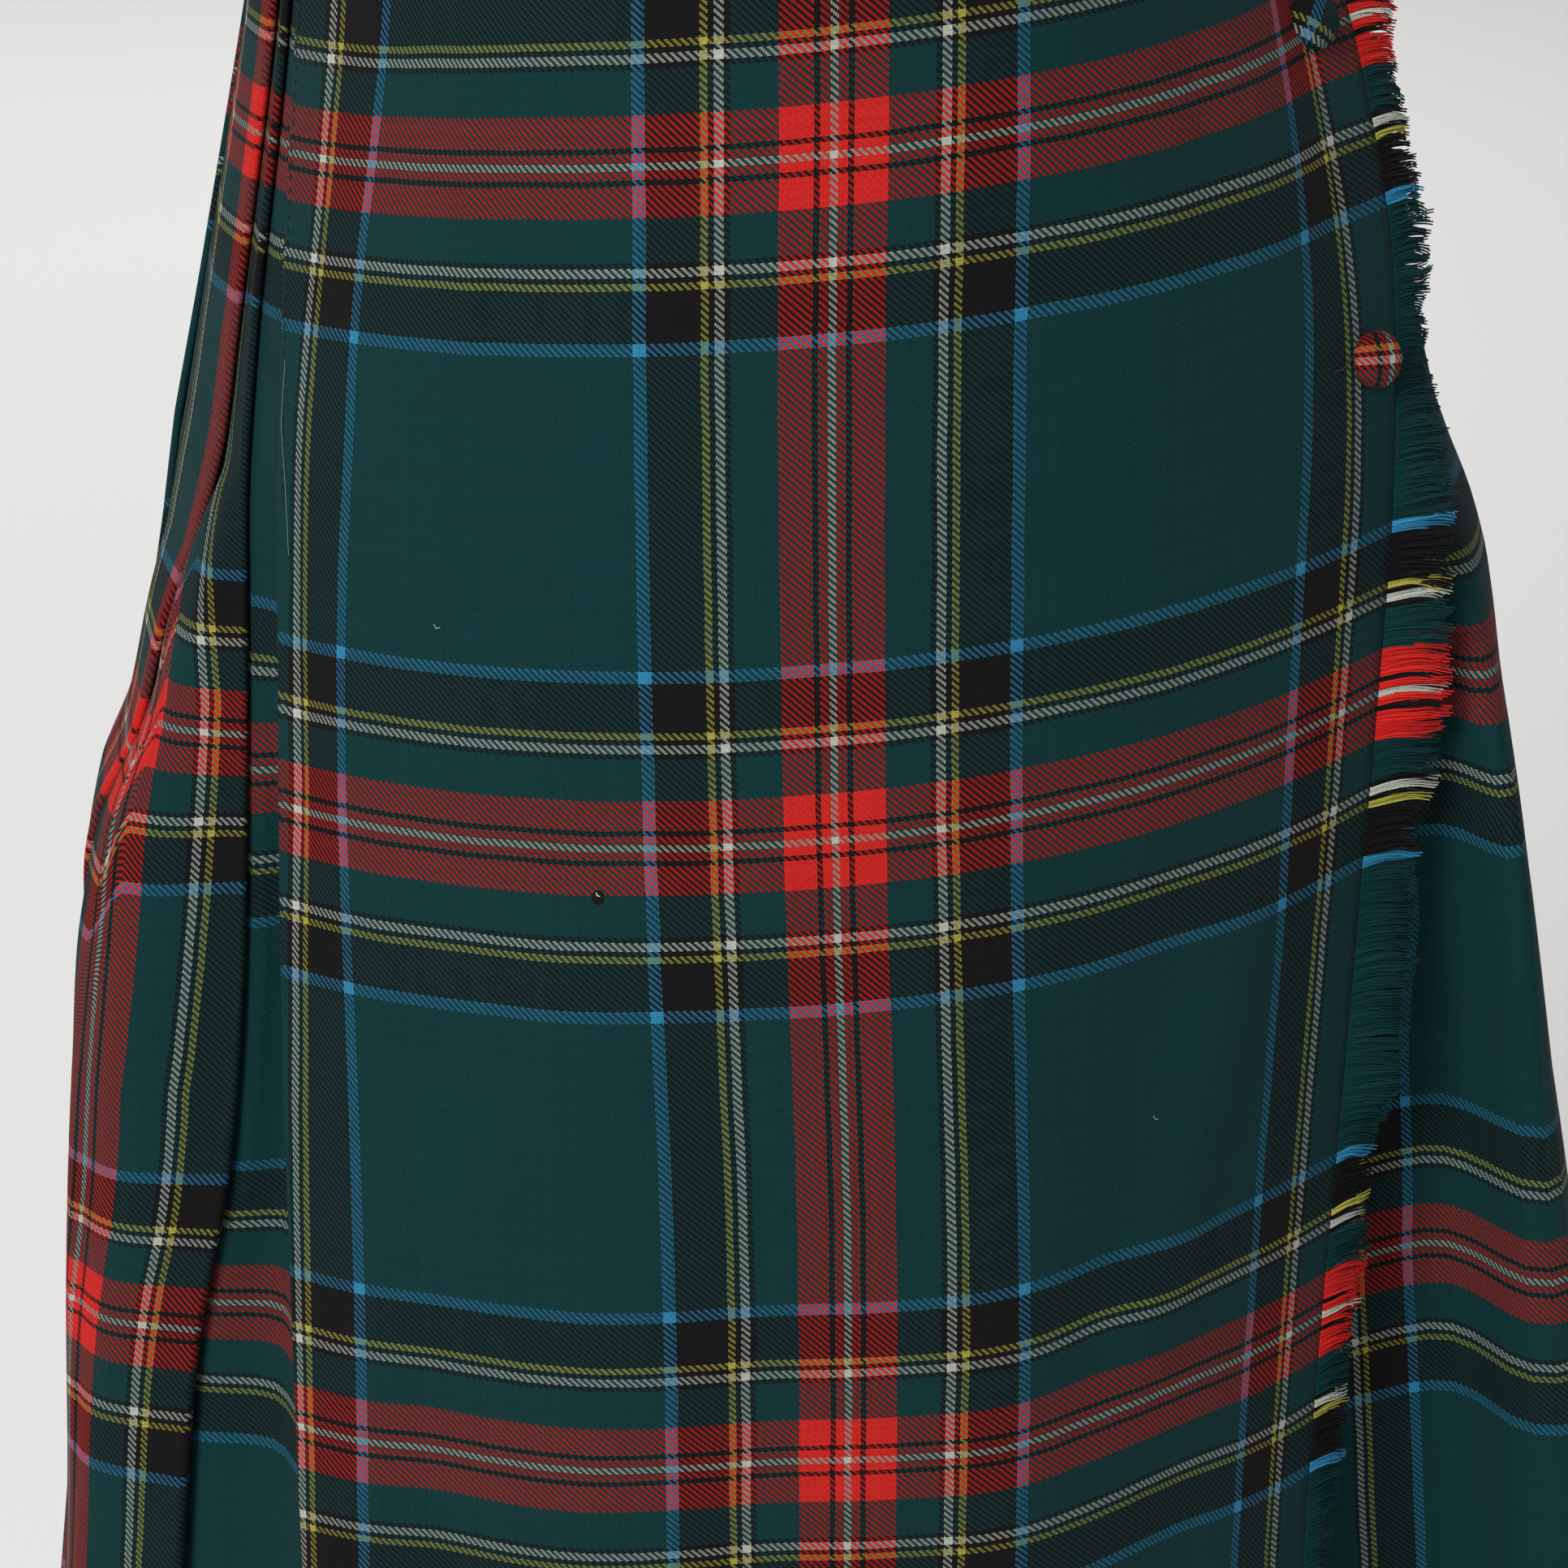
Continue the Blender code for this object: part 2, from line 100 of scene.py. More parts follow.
PLEATS = 16
PLEATS_PER_WIDTH = 4
PLEAT_COLUMNS = ("depth", "first_fold", "last_gap", "next_gap", "third_gap", "turned_in",
                 "spread")
PLEAT_ROWS = (
    (0.036, 0.210, 0.004, 0.008, 0.052, 0.018, 1.0),
    (0.130, 0.232, 0.0095, 0.010, 0.062, 0.020, 1.0),
    (0.185, 0.245, 0.0150, 0.012, 0.064, 0.022, 1.0),
    (0.215, 0.255, 0.0165, 0.016, 0.062, 0.024, 1.1),
    (0.245, 0.268, 0.0150, 0.035, 0.056, 0.025, 1.2),
    (0.285, 0.287, 0.0135, 0.061, 0.052, 0.026, 1.3),
    (0.330, 0.305, 0.014, 0.080, 0.052, 0.027, 1.5),
    (0.380, 0.325, 0.020, 0.090, 0.052, 0.028, 1.8),
    (0.430, 0.338, 0.033, 0.095, 0.052, 0.029, 2.1),
    (0.490, 0.352, 0.041, 0.100, 0.053, 0.030, 2.4),
    (0.780, 0.410, 0.075, 0.120, 0.054, 0.036, 4.0),
)
TURNED_IN_SHARE = 0.6
PANEL_SHARES = (0.30, 0.65, 1.0)
PANEL_LIFTS = (0.50, 1.30, 2.0)

FIRST_PANEL_COLUMNS = ("depth", "flare", "x1", "y1", "x2", "y2", "x3", "y3", "x4", "y4",
                       "x5", "y5")
FIRST_PANEL = (
    (0.215, 0.0, 0.148, -0.092, 0.168, -0.080, 0.174, -0.082, 0.180, -0.078, 0.188, -0.052),
    (0.250, 0.7, 0.148, -0.092, 0.168, -0.080, 0.176, -0.086, 0.182, -0.080, 0.188, -0.052),
    (0.290, 1.0, 0.150, -0.095, 0.172, -0.083, 0.184, -0.094, 0.190, -0.087, 0.194, -0.058),
    (0.390, 1.0, 0.146, -0.100, 0.179, -0.084, 0.200, -0.103, 0.209, -0.095, 0.214, -0.058),
    (0.480, 1.0, 0.144, -0.110, 0.186, -0.092, 0.206, -0.113, 0.225, -0.107, 0.231, -0.070),
    (0.780, 1.0, 0.150, -0.160, 0.207, -0.133, 0.236, -0.158, 0.262, -0.148, 0.271, -0.092),
)
LAST_PANEL_COLUMNS = ("depth", "flare", "x1", "y1", "x2", "y2", "x3", "y3")
LAST_PANEL = (
    (0.215, 0.0, -0.164, -0.086, -0.161, -0.096, -0.152, -0.106),
    (0.245, 0.4, -0.163, -0.084, -0.161, -0.095, -0.152, -0.106),
    (0.270, 0.9, -0.163, -0.082, -0.161, -0.095, -0.153, -0.107),
    (0.300, 1.0, -0.174, -0.097, -0.168, -0.115, -0.157, -0.122),
    (0.325, 1.0, -0.179, -0.110, -0.171, -0.126, -0.159, -0.132),
    (0.360, 1.0, -0.182, -0.120, -0.175, -0.133, -0.163, -0.140),
    (0.420, 1.0, -0.188, -0.125, -0.182, -0.135, -0.172, -0.144),
    (0.480, 1.0, -0.192, -0.130, -0.188, -0.141, -0.181, -0.149),
    (0.780, 1.0, -0.232, -0.150, -0.222, -0.166, -0.207, -0.178),
)

# Fold before the last one, where it leaves the form: how far, and its plan place
LOOSE_FOLD_COLUMNS = ("depth", "flare", "x", "y")
LOOSE_FOLD = (
    (0.240, 0.0, -0.158, -0.072),
    (0.268, 1.0, -0.1645, -0.080),
    (0.278, 1.0, -0.1672, -0.086),
    (0.290, 1.0, -0.1712, -0.092),
    (0.300, 1.0, -0.1758, -0.098),
    (0.308, 1.0, -0.1778, -0.101),
    (0.330, 1.0, -0.1805, -0.100),
    (0.360, 0.8, -0.1855, -0.086),
    (0.400, 0.0, -0.1900, -0.070),
)

# How far the sides stand in from the form: at the first pleats by depth, and at the last
RIGHT_SIDE_IN = (
    (0.036, 0.004), (0.10, 0.005), (0.20, 0.0078), (0.215, 0.0078), (0.235, 0.0044),
    (0.25, 0.0024), (0.262, 0.0021), (0.275, 0.0028), (0.30, 0.0031), (0.32, 0.0033),
    (0.48, 0.0022), (0.78, 0.001),
)
LEFT_SIDE_IN = (
    (0.22, 0.0), (0.25, 0.0018), (0.285, 0.0026), (0.30, 0.0005), (0.36, 0.0), (0.44, 0.003),
    (0.48, 0.006), (0.50, 0.0085), (0.78, 0.009),
)

# Check: last thread of each band in half a repeat, counted from the middle of the white
# line, and the yarn of the band
CHECK_BANDS = (
    (2, "white"), (6, "red"), (10, "black"), (27, "red"), (50, "green"), (54, "black"),
    (59, "white"), (62, "black"), (66, "yellow"), (94, "black"), (100, "blue"), (188, "green"),
)
HALF_REPEAT = 188
REPEAT = 2 * HALF_REPEAT

ROW_COLUMNS = ("weft", "tilt", "bow")
CHECK_ROWS = (
    (-480, 0.0940, -0.037),
    (-240, 0.0785, 0.036),
    (0, 0.0591, 0.092),
    (240, 0.0284, -0.002),
    (480, -0.0026, -0.127),
)
MIDDLE_ROW_DEPTH = 0.280
EDGE_WARP = 348.8

# How far the apron's wrap edge stands off the hip, in plan, over the last part of its width
EDGE_STAND_COLUMNS = ("depth", "x", "y")
EDGE_STAND_WIDTH = 0.040
EDGE_STAND = (
    (0.036, 0.0070, -0.0050),
    (0.100, 0.0080, -0.0055),
    (0.126, 0.0066, -0.0045),
    (0.141, 0.0054, -0.0035),
    (0.159, 0.0042, -0.0025),
    (0.182, 0.0024, -0.0015),
    (0.242, 0.0013, -0.0006),
    (0.264, 0.0008, -0.0003),
    (0.295, -0.0003, 0.0),
    (0.311, -0.0012, -0.0008),
    (0.342, -0.0018, -0.0012),
    (0.390, -0.0024, -0.0016),
    (0.454, -0.0033, -0.0018),
    (0.780, -0.0040, -0.0018),
)

# Fringe: how straight it points to the side, and its length against the usual
FRINGE_COLUMNS = ("depth", "sideways", "long")
FRINGE_ROWS = (
    (0.036, 0.80, 0.95), (0.100, 0.78, 0.95), (0.127, 0.62, 0.80), (0.143, 0.62, 0.85),
    (0.160, 0.66, 0.85), (0.186, 0.66, 0.78), (0.201, 0.78, 0.90), (0.216, 0.87, 0.97),
    (0.233, 0.93, 1.00), (0.281, 0.93, 1.00), (0.300, 0.89, 0.97), (0.347, 0.89, 0.97),
    (0.376, 0.90, 1.00), (0.395, 0.70, 0.83), (0.426, 0.70, 0.86), (0.445, 0.68, 0.80),
    (0.478, 0.66, 0.75), (0.780, 0.66, 0.85),
)

# Runs of the white and blue warp lines near the apron's two edges, and the thread at its fold
LINE_COLUMNS = ("depth", "fold_warp", "left_white", "left_blue", "right_blue", "right_white")
LINE_ROWS = (
    (0.036, -348.5, -0.1329, -0.1119, 0.1279, 0.1403),
    (0.100, -348.5, -0.1329, -0.1119, 0.1279, 0.1403),
    (0.130, -347.2, -0.1336, -0.1150, 0.1269, 0.1405),
    (0.160, -346.0, -0.1351, -0.1184, 0.1254, 0.1411),
    (0.200, -338.0, -0.1376, -0.1205, 0.1232, 0.1415),
    (0.240, -333.0, -0.1364, -0.1220, 0.1210, 0.1391),
    (0.280, -331.0, -0.1351, -0.1220, 0.1198, 0.1371),
    (0.330, -329.9, -0.1371, -0.1213, 0.1181, 0.1351),
    (0.370, -329.0, -0.1386, -0.1212, 0.1166, 0.1334),
    (0.410, -327.4, -0.1390, -0.1212, 0.1151, 0.1317),
    (0.450, -325.0, -0.1386, -0.1216, 0.1137, 0.1299),
    (0.480, -323.0, -0.1386, -0.1219, 0.1129, 0.1285),
    (0.780, -323.0, -0.1386, -0.1219, 0.1129, 0.1281),
)
WHITE_WARP, BLUE_SIDE_WARP = 319.5, 279.0
LEFT_ROW_RUN = -0.145
RIGHT_ROW_RUN = 0.150

UNDERLAY_ROWS = ((0.036, -620), (0.244, -97), (0.2568, -64), (0.2835, 0), (0.3197, 97),
                 (0.3809, 279), (0.4187, 376), (0.4560, 473), (0.780, 1275))
# Threads by which the rows on the last pleat's panel have risen, by depth
PANEL_RISE = ((0.165, 0), (0.24, 26), (0.253, 28), (0.275, 31), (0.295, 37), (0.31, 39),
              (0.38, 41), (0.415, 37), (0.437, 34), (0.465, 29), (0.78, 26))

# Warp thread at the last pleat's fold, by depth, and at every other fold, and the cloth
# from one fold to the next, in threads
LAST_FOLD_WARP = ((0.12, 88), (0.19, 90), (0.215, 88), (0.24, 82), (0.268, 77), (0.295, 79),
                  (0.33, 84), (0.36, 88), (0.40, 86), (0.50, 85))
FOLD_WARP = 83
PLEAT_THREADS = REPEAT + 98
# Place of the blue warp line on the first pleat's panel, by depth
BLUE_LINE_X = ((0.036, 0.128), (0.20, 0.160), (0.30, 0.1678), (0.36, 0.1703), (0.40, 0.1716),
               (0.44, 0.1745), (0.48, 0.1785), (0.78, 0.205))
BLUE_WARP = 97
FIRST_PLEAT_OFFSET = -20 * REPEAT
UNDERLAY_MIDDLE = HALF_REPEAT + REPEAT
UNDERLAY_DIP = 0.009
SLANT_WIDTH, SLANT_STRETCH = 0.022, 0.35
UNDER_APRON_OFFSET = 3 * REPEAT
BAND_WARP, BAND_WEFT = 350 - 5 * REPEAT, -680

# Soft folds on the apron: run and depth of both ends, half width, height, and the length
# over which an end fades
FOLD_COLUMNS = ("run_1", "depth_1", "run_2", "depth_2", "width", "height", "fade")
APRON_FOLDS = (
    (-0.088, 0.030, -0.084, 0.190, 0.0035, 0.0008, 0.030),
    (0.088, 0.040, 0.096, 0.170, 0.0080, -0.0010, 0.040),
    (0.110, 0.310, 0.082, 0.420, 0.0100, 0.0016, 0.040),
    (0.086, 0.300, 0.060, 0.430, 0.0110, -0.0014, 0.050),
    (-0.060, 0.300, -0.070, 0.620, 0.0200, 0.0018, 0.080),
    (-0.020, 0.360, -0.012, 0.760, 0.0180, -0.0018, 0.080),
    (0.040, 0.380, 0.052, 0.770, 0.0200, 0.0022, 0.090),
    (0.092, 0.450, 0.100, 0.775, 0.0160, -0.0020, 0.080),
    (-0.105, 0.420, -0.098, 0.775, 0.0150, -0.0018, 0.080),
    (0.010, 0.120, 0.016, 0.240, 0.0240, 0.0008, 0.050),
)

# Moth nip in the apron, in warp and weft threads, and its half sizes; its hole is coloured near
# black as painted shade inside it
NIP_WARP, NIP_WEFT = -126.0, 28.0
NIP_ACROSS, NIP_DOWN = 3.4, 4.4

RING_POINTS = 720
TANGENT_SPAN = 0.004

# Mesh stations: round a fold, up to a width's first panel, on the first panel and its part
# before the blue line, on the last panel, on the others, on a layer under a fold, on the
# underlay, on the under apron, and the waistband's rows and stations
TURN_STEPS = 4
START_STATIONS = 5
FIRST_STATIONS, BLUE_LINE_STATIONS = 44, 24
LAST_STATIONS = 36
PANEL_STATIONS = 18
LAYER_STATIONS = 6
UNDERLAY_STATIONS = 16
UNDER_APRON_STATIONS = 48
BAND_ROWS, BAND_STATIONS = 13, 300
APRON_SPAN = 0.295
END_THREADS = 60


def measure(name, description, default, least, digits=4):
    """A setting that is a length in metres."""
    return bpy.props.FloatProperty(name=name, description=description, default=default,
                                   min=least, precision=digits, unit="LENGTH")


def strength(name, description, default, least):
    """A setting that is a plain number."""
    return bpy.props.FloatProperty(name=name, description=description, default=default, min=least)


def colour_of(name, description, default):
    """A setting that is a colour."""
    return bpy.props.FloatVectorProperty(name=name, description=description, default=default,
                                         subtype="COLOR", size=3, min=0, max=1)


class ClothSettings(bpy.types.PropertyGroup):
    """Sizes and yarn colours of the checked cloth"""

    warp_pitch: measure("Warp Pitch", "Width of a warp thread", 0.00044, 0.0001, 6)
    weft_pitch: measure("Weft Pitch", "Height of a weft thread", 0.000414, 0.0001, 6)
    thickness: measure("Thickness", "Thickness of the cloth", 0.0009, 0.0002, 5)
    row_step: measure(
        "Row Step", "Distance between the mesh rows of a piece of cloth", 0.004, 0.001)
    run_step: measure(
        "Run Step", "Distance between the mesh columns of a flat piece", 0.0036, 0.001)
    green: colour_of("Green Yarn", "Colour of the ground yarn", (0.0019, 0.0258, 0.0275))
    red: colour_of("Red Yarn", "Colour of the red yarn", (0.460, 0.0140, 0.0108))
    black: colour_of("Black Yarn", "Colour of the black yarn", (0.0040, 0.0038, 0.0044))
    white: colour_of("White Yarn", "Colour of the white yarn", (0.360, 0.385, 0.330))
    yellow: colour_of("Yellow Yarn", "Colour of the yellow yarn", (0.290, 0.265, 0.042))
    blue: colour_of("Blue Yarn", "Colour of the blue yarn", (0.022, 0.165, 0.300))


class FringeSettings(bpy.types.PropertyGroup):
    """Frayed yarn ends along the wrap edge"""

    length: measure("Length", "Length of the frayed yarn", 0.0185, 0.002)
    yarn: measure("Yarn Thickness", "Half thickness of a frayed yarn", 0.00040, 0.00005, 6)
    droop: measure("Droop", "How far the tips hang below their roots", 0.0042, 0)
    lift: measure("Lift", "How far the yarn stands off the cloth behind it", 0.0022, 0)
    tangle: measure("Tangle", "How far neighbouring yarns wander", 0.0013, 0)
    seed: bpy.props.IntProperty(name="Seed", description="Seed of the yarns' wandering", default=7)


class StitchSettings(bpy.types.PropertyGroup):
    """Sewing thread"""

    pitch: measure("Pitch", "Distance from one stitch to the next", 0.0032, 0.001)
    length: measure("Length", "Length of a stitch", 0.0019, 0.0005)
    thread: measure("Thread Thickness", "Half thickness of the sewing thread", 0.00017, 0.00005, 6)
    colour: colour_of("Thread Colour", "Colour of the sewing thread", (0.006, 0.009, 0.010))


class ButtonSettings(bpy.types.PropertyGroup):
    """Cloth-covered buttons"""

    radius: measure("Radius", "Radius of a covered button", 0.0070, 0.002)
    height: measure("Height", "Height of a covered button over the cloth", 0.0050, 0.001)
    seat: measure("Seat", "How far the button's foot stands off the cloth's middle", 0.0005, 0, 5)


class StageSettings(bpy.types.PropertyGroup):
    """Floor, lights and camera"""

    floor_depth: measure("Floor Depth", "Depth of the floor below the waist", 1.10, 0.8, 2)
    floor_colour: colour_of("Floor Colour", "Colour of the floor", (0.780, 0.775, 0.765))
    key_power: strength("Key Power", "Power of the large soft light", 68.0, 0)
    fill_power: strength("Fill Power", "Power of the fill light", 5.0, 0)
    floor_power: strength("Floor Power", "Power of the light over the floor behind", 105.0, 0)
    sky: strength("Surroundings", "Strength of the light from all round", 0.50, 0)
    lens: strength("Lens", "Focal length of the camera, in millimetres", 73.04, 10)


def column(table, names, name, depth):
    """Value of a table's column at a depth, on a smooth curve through its rows."""
    rows = np.array(table)
    xs = rows[:, 0]
    ys = rows[:, names.index(name)]
    slopes = np.gradient(ys, xs)
    i = int(np.clip(np.searchsorted(xs, depth) - 1, 0, len(xs) - 2))
    h = xs[i + 1] - xs[i]
    t = (np.clip(depth, xs[0], xs[-1]) - xs[i]) / h
    return ((2 * t**3 - 3 * t**2 + 1) * ys[i] + (t**3 - 2 * t**2 + t) * h * slopes[i]
            + (-2 * t**3 + 3 * t**2) * ys[i + 1] + (t**3 - t**2) * h * slopes[i + 1])


class Ring:
    """Closed body section at one depth, read by the run from the front's middle."""

    def __init__(self, depth):
        self.depth = depth
        size = {n: column(SECTIONS, SECTION_COLUMNS, n, depth) for n in SECTION_COLUMNS[1:]}
        angle = np.linspace(-pi, pi, RING_POINTS + 1)
        side, ahead = np.sin(angle), np.cos(angle)
        half = np.where(side < 0, size["left"], size["right"])
        reach = np.where(ahead > 0, size["front"], size["back"])
        power = 2 / np.where(ahead < 0, BACK_ROUNDNESS,
                             np.where(side < 0, size["round_left"], size["round_right"]))
        x = half * np.sign(side) * np.abs(side) ** power
        y = -reach * np.sign(ahead) * np.abs(ahead) ** power
        turn = size["turn"]
        self.x = np.cos(turn) * x - np.sin(turn) * y + size["centre_x"]
        self.y = np.sin(turn) * x + np.cos(turn) * y + size["centre_y"]
        steps = np.hypot(np.diff(self.x), np.diff(self.y))
        run = np.concatenate([[0.0], np.cumsum(steps)])
        self.length = run[-1]
        self.run = run - run[RING_POINTS // 2] - size["middle"]

    def wrap(self, run):
        low = self.run[0]
        return (run - low) % self.length + low

    def at(self, run):
        run = self.wrap(run)
        return np.array([np.interp(run, self.run, self.x), np.interp(run, self.run, self.y)])

    def point(self, run, height):
        """Plan place at a run, moved out from the form by a height."""
        along = self.at(run + TANGENT_SPAN) - self.at(run - TANGENT_SPAN)
        along /= np.linalg.norm(along)
        return self.at(run) + height * np.array([along[1], -along[0]])


def apron_left(depth):
    return column(APRON_EDGES, APRON_COLUMNS, "left_fold", depth)


def apron_right(depth):
    return column(APRON_EDGES, APRON_COLUMNS, "right_edge", depth)


def pleat_size(name, depth):
    return column(PLEAT_ROWS, PLEAT_COLUMNS, name, depth)


def smooth_step(value, low, high):
    t = np.clip((value - low) / (high - low), 0, 1)
    return t * t * (3 - 2 * t)


def piece_rows(settings, top=BAND_HEIGHT + SEAM, bottom=SKIRT_LENGTH):
    """Depths of a piece's mesh rows."""
    count = int(round((bottom - top) / settings.row_step))
    return np.linspace(top, bottom, count + 1)


def weft_at(depth, run):
    """Weft thread at a depth and run of the apron's cloth."""
    table = np.array(CHECK_ROWS)
    threads = np.arange(-760, 1500, 20.0)
    tilt = np.interp(threads, table[:, 0], table[:, 1])
    bow = np.interp(threads, table[:, 0], table[:, 2])
    pitch = bpy.context.scene.skirt_cloth.weft_pitch
    depths = MIDDLE_ROW_DEPTH + threads * pitch - tilt * run - bow * run * run
    return np.interp(depth, depths, threads)


def smooth_line(points, count):
    """Even stations on a smooth curve through plan points, without the last one."""
    points = np.array(points)
    ends = np.vstack([2 * points[0] - points[1], points, 2 * points[-1] - points[-2]])
    fine = []
    for a, b, c, d in zip(ends, ends[1:], ends[2:], ends[3:]):
        for t in np.linspace(0, 1, 9)[:-1]:
            fine.append(0.5 * (2 * b + (c - a) * t + (2 * a - 5 * b + 4 * c - d) * t * t
                               + (3 * b - a - 3 * c + d) * t**3))
    fine.append(points[-1])
    return even_line(fine, count)


def even_line(points, count):
    """Even stations along a plan line, without the last one."""
    points = np.array(points)
    length = np.concatenate([[0], np.cumsum(np.linalg.norm(np.diff(points, axis=0), axis=1))])
    places = np.linspace(0, length[-1], count + 1)[:-1]
    return np.stack([np.interp(places, length, points[:, i]) for i in (0, 1)], axis=1)


def turn_line(start, end, ahead):
    """Stations round a pressed fold, from one layer to the next, without the last one."""
    middle, arm = (start + end) / 2, (start - end) / 2
    ahead = ahead - arm * np.dot(ahead, arm) / np.dot(arm, arm)
    ahead *= np.linalg.norm(arm) / np.linalg.norm(ahead)
    angles = np.linspace(0, pi, TURN_STEPS + 1)[:-1]
    return np.array([middle + arm * cos(a) + ahead * sin(a) for a in angles])


def fold_runs(ring):
    """Runs of the pleats' outer folds at a ring, from the right side round the back."""
    depth = ring.depth
    last = ring.length + apron_left(depth) - pleat_size("last_gap", depth)
    before = last - pleat_size("next_gap", depth)
    third = before - pleat_size("third_gap", depth)
    first = pleat_size("first_fold", depth)
    return np.array([*np.linspace(first, third, PLEATS - 2), before, last])


def panel_points(ring, number, start, inner, fold):
    """Plan points of a pleat's panel between its start and its fold."""
    depth = ring.depth
    layer = LAYER * pleat_size("spread", depth)
    if number == 0:
        table, names, end = FIRST_PANEL, FIRST_PANEL_COLUMNS, inner
    elif number == PLEATS - 1:
        table, names, end = LAST_PANEL, LAST_PANEL_COLUMNS, fold
    else:
        return [ring.point(start + share * (inner - start), lift * layer)
                for share, lift in zip(PANEL_SHARES, PANEL_LIFTS)]
    flare = column(table, names, "flare", depth)
    count = (len(names) - 2) // 2
    points = []
    for i in range(1, count + 1):
        share = i / (count + 1)
        near = ring.point(start + share * (end - start), 2 * share * layer)
        off = np.array([column(table, names, axis + str(i), depth) for axis in "xy"])
        points.append(near + flare * (off - near))
    if number == 0:
        points.append(ring.point(inner, 2 * layer))
    return points


def loose_fold(ring, fold):
    """How far the fold before the last one is moved off the form."""
    depth = ring.depth
    flare = np.clip(column(LOOSE_FOLD, LOOSE_FOLD_COLUMNS, "flare", depth), 0, 1)
    place = np.array([column(LOOSE_FOLD, LOOSE_FOLD_COLUMNS, axis, depth) for axis in "xy"])
    layer = LAYER * pleat_size("spread", depth)
    return flare * (place - ring.point(fold, 2 * layer))


def side_in(stations, depth, first, last):
    """Move the skirt's two sides in from the form."""
    x, y = stations[:, 0], stations[:, 1]
    if first == 0:
        amount = np.interp(depth, *np.array(RIGHT_SIDE_IN).T)
        x -= amount * smooth_step(x, 0.115, 0.160) * (1 - smooth_step(y, 0.02, 0.10))
    if last == PLEATS - 1:
        amount = np.interp(depth, *np.array(LEFT_SIDE_IN).T)
        share = smooth_step(y, -0.125, -0.085) * (1 - smooth_step(y, 0.03, 0.10))
        x += amount * share * smooth_step(-x, 0.12, 0.17)
    return stations


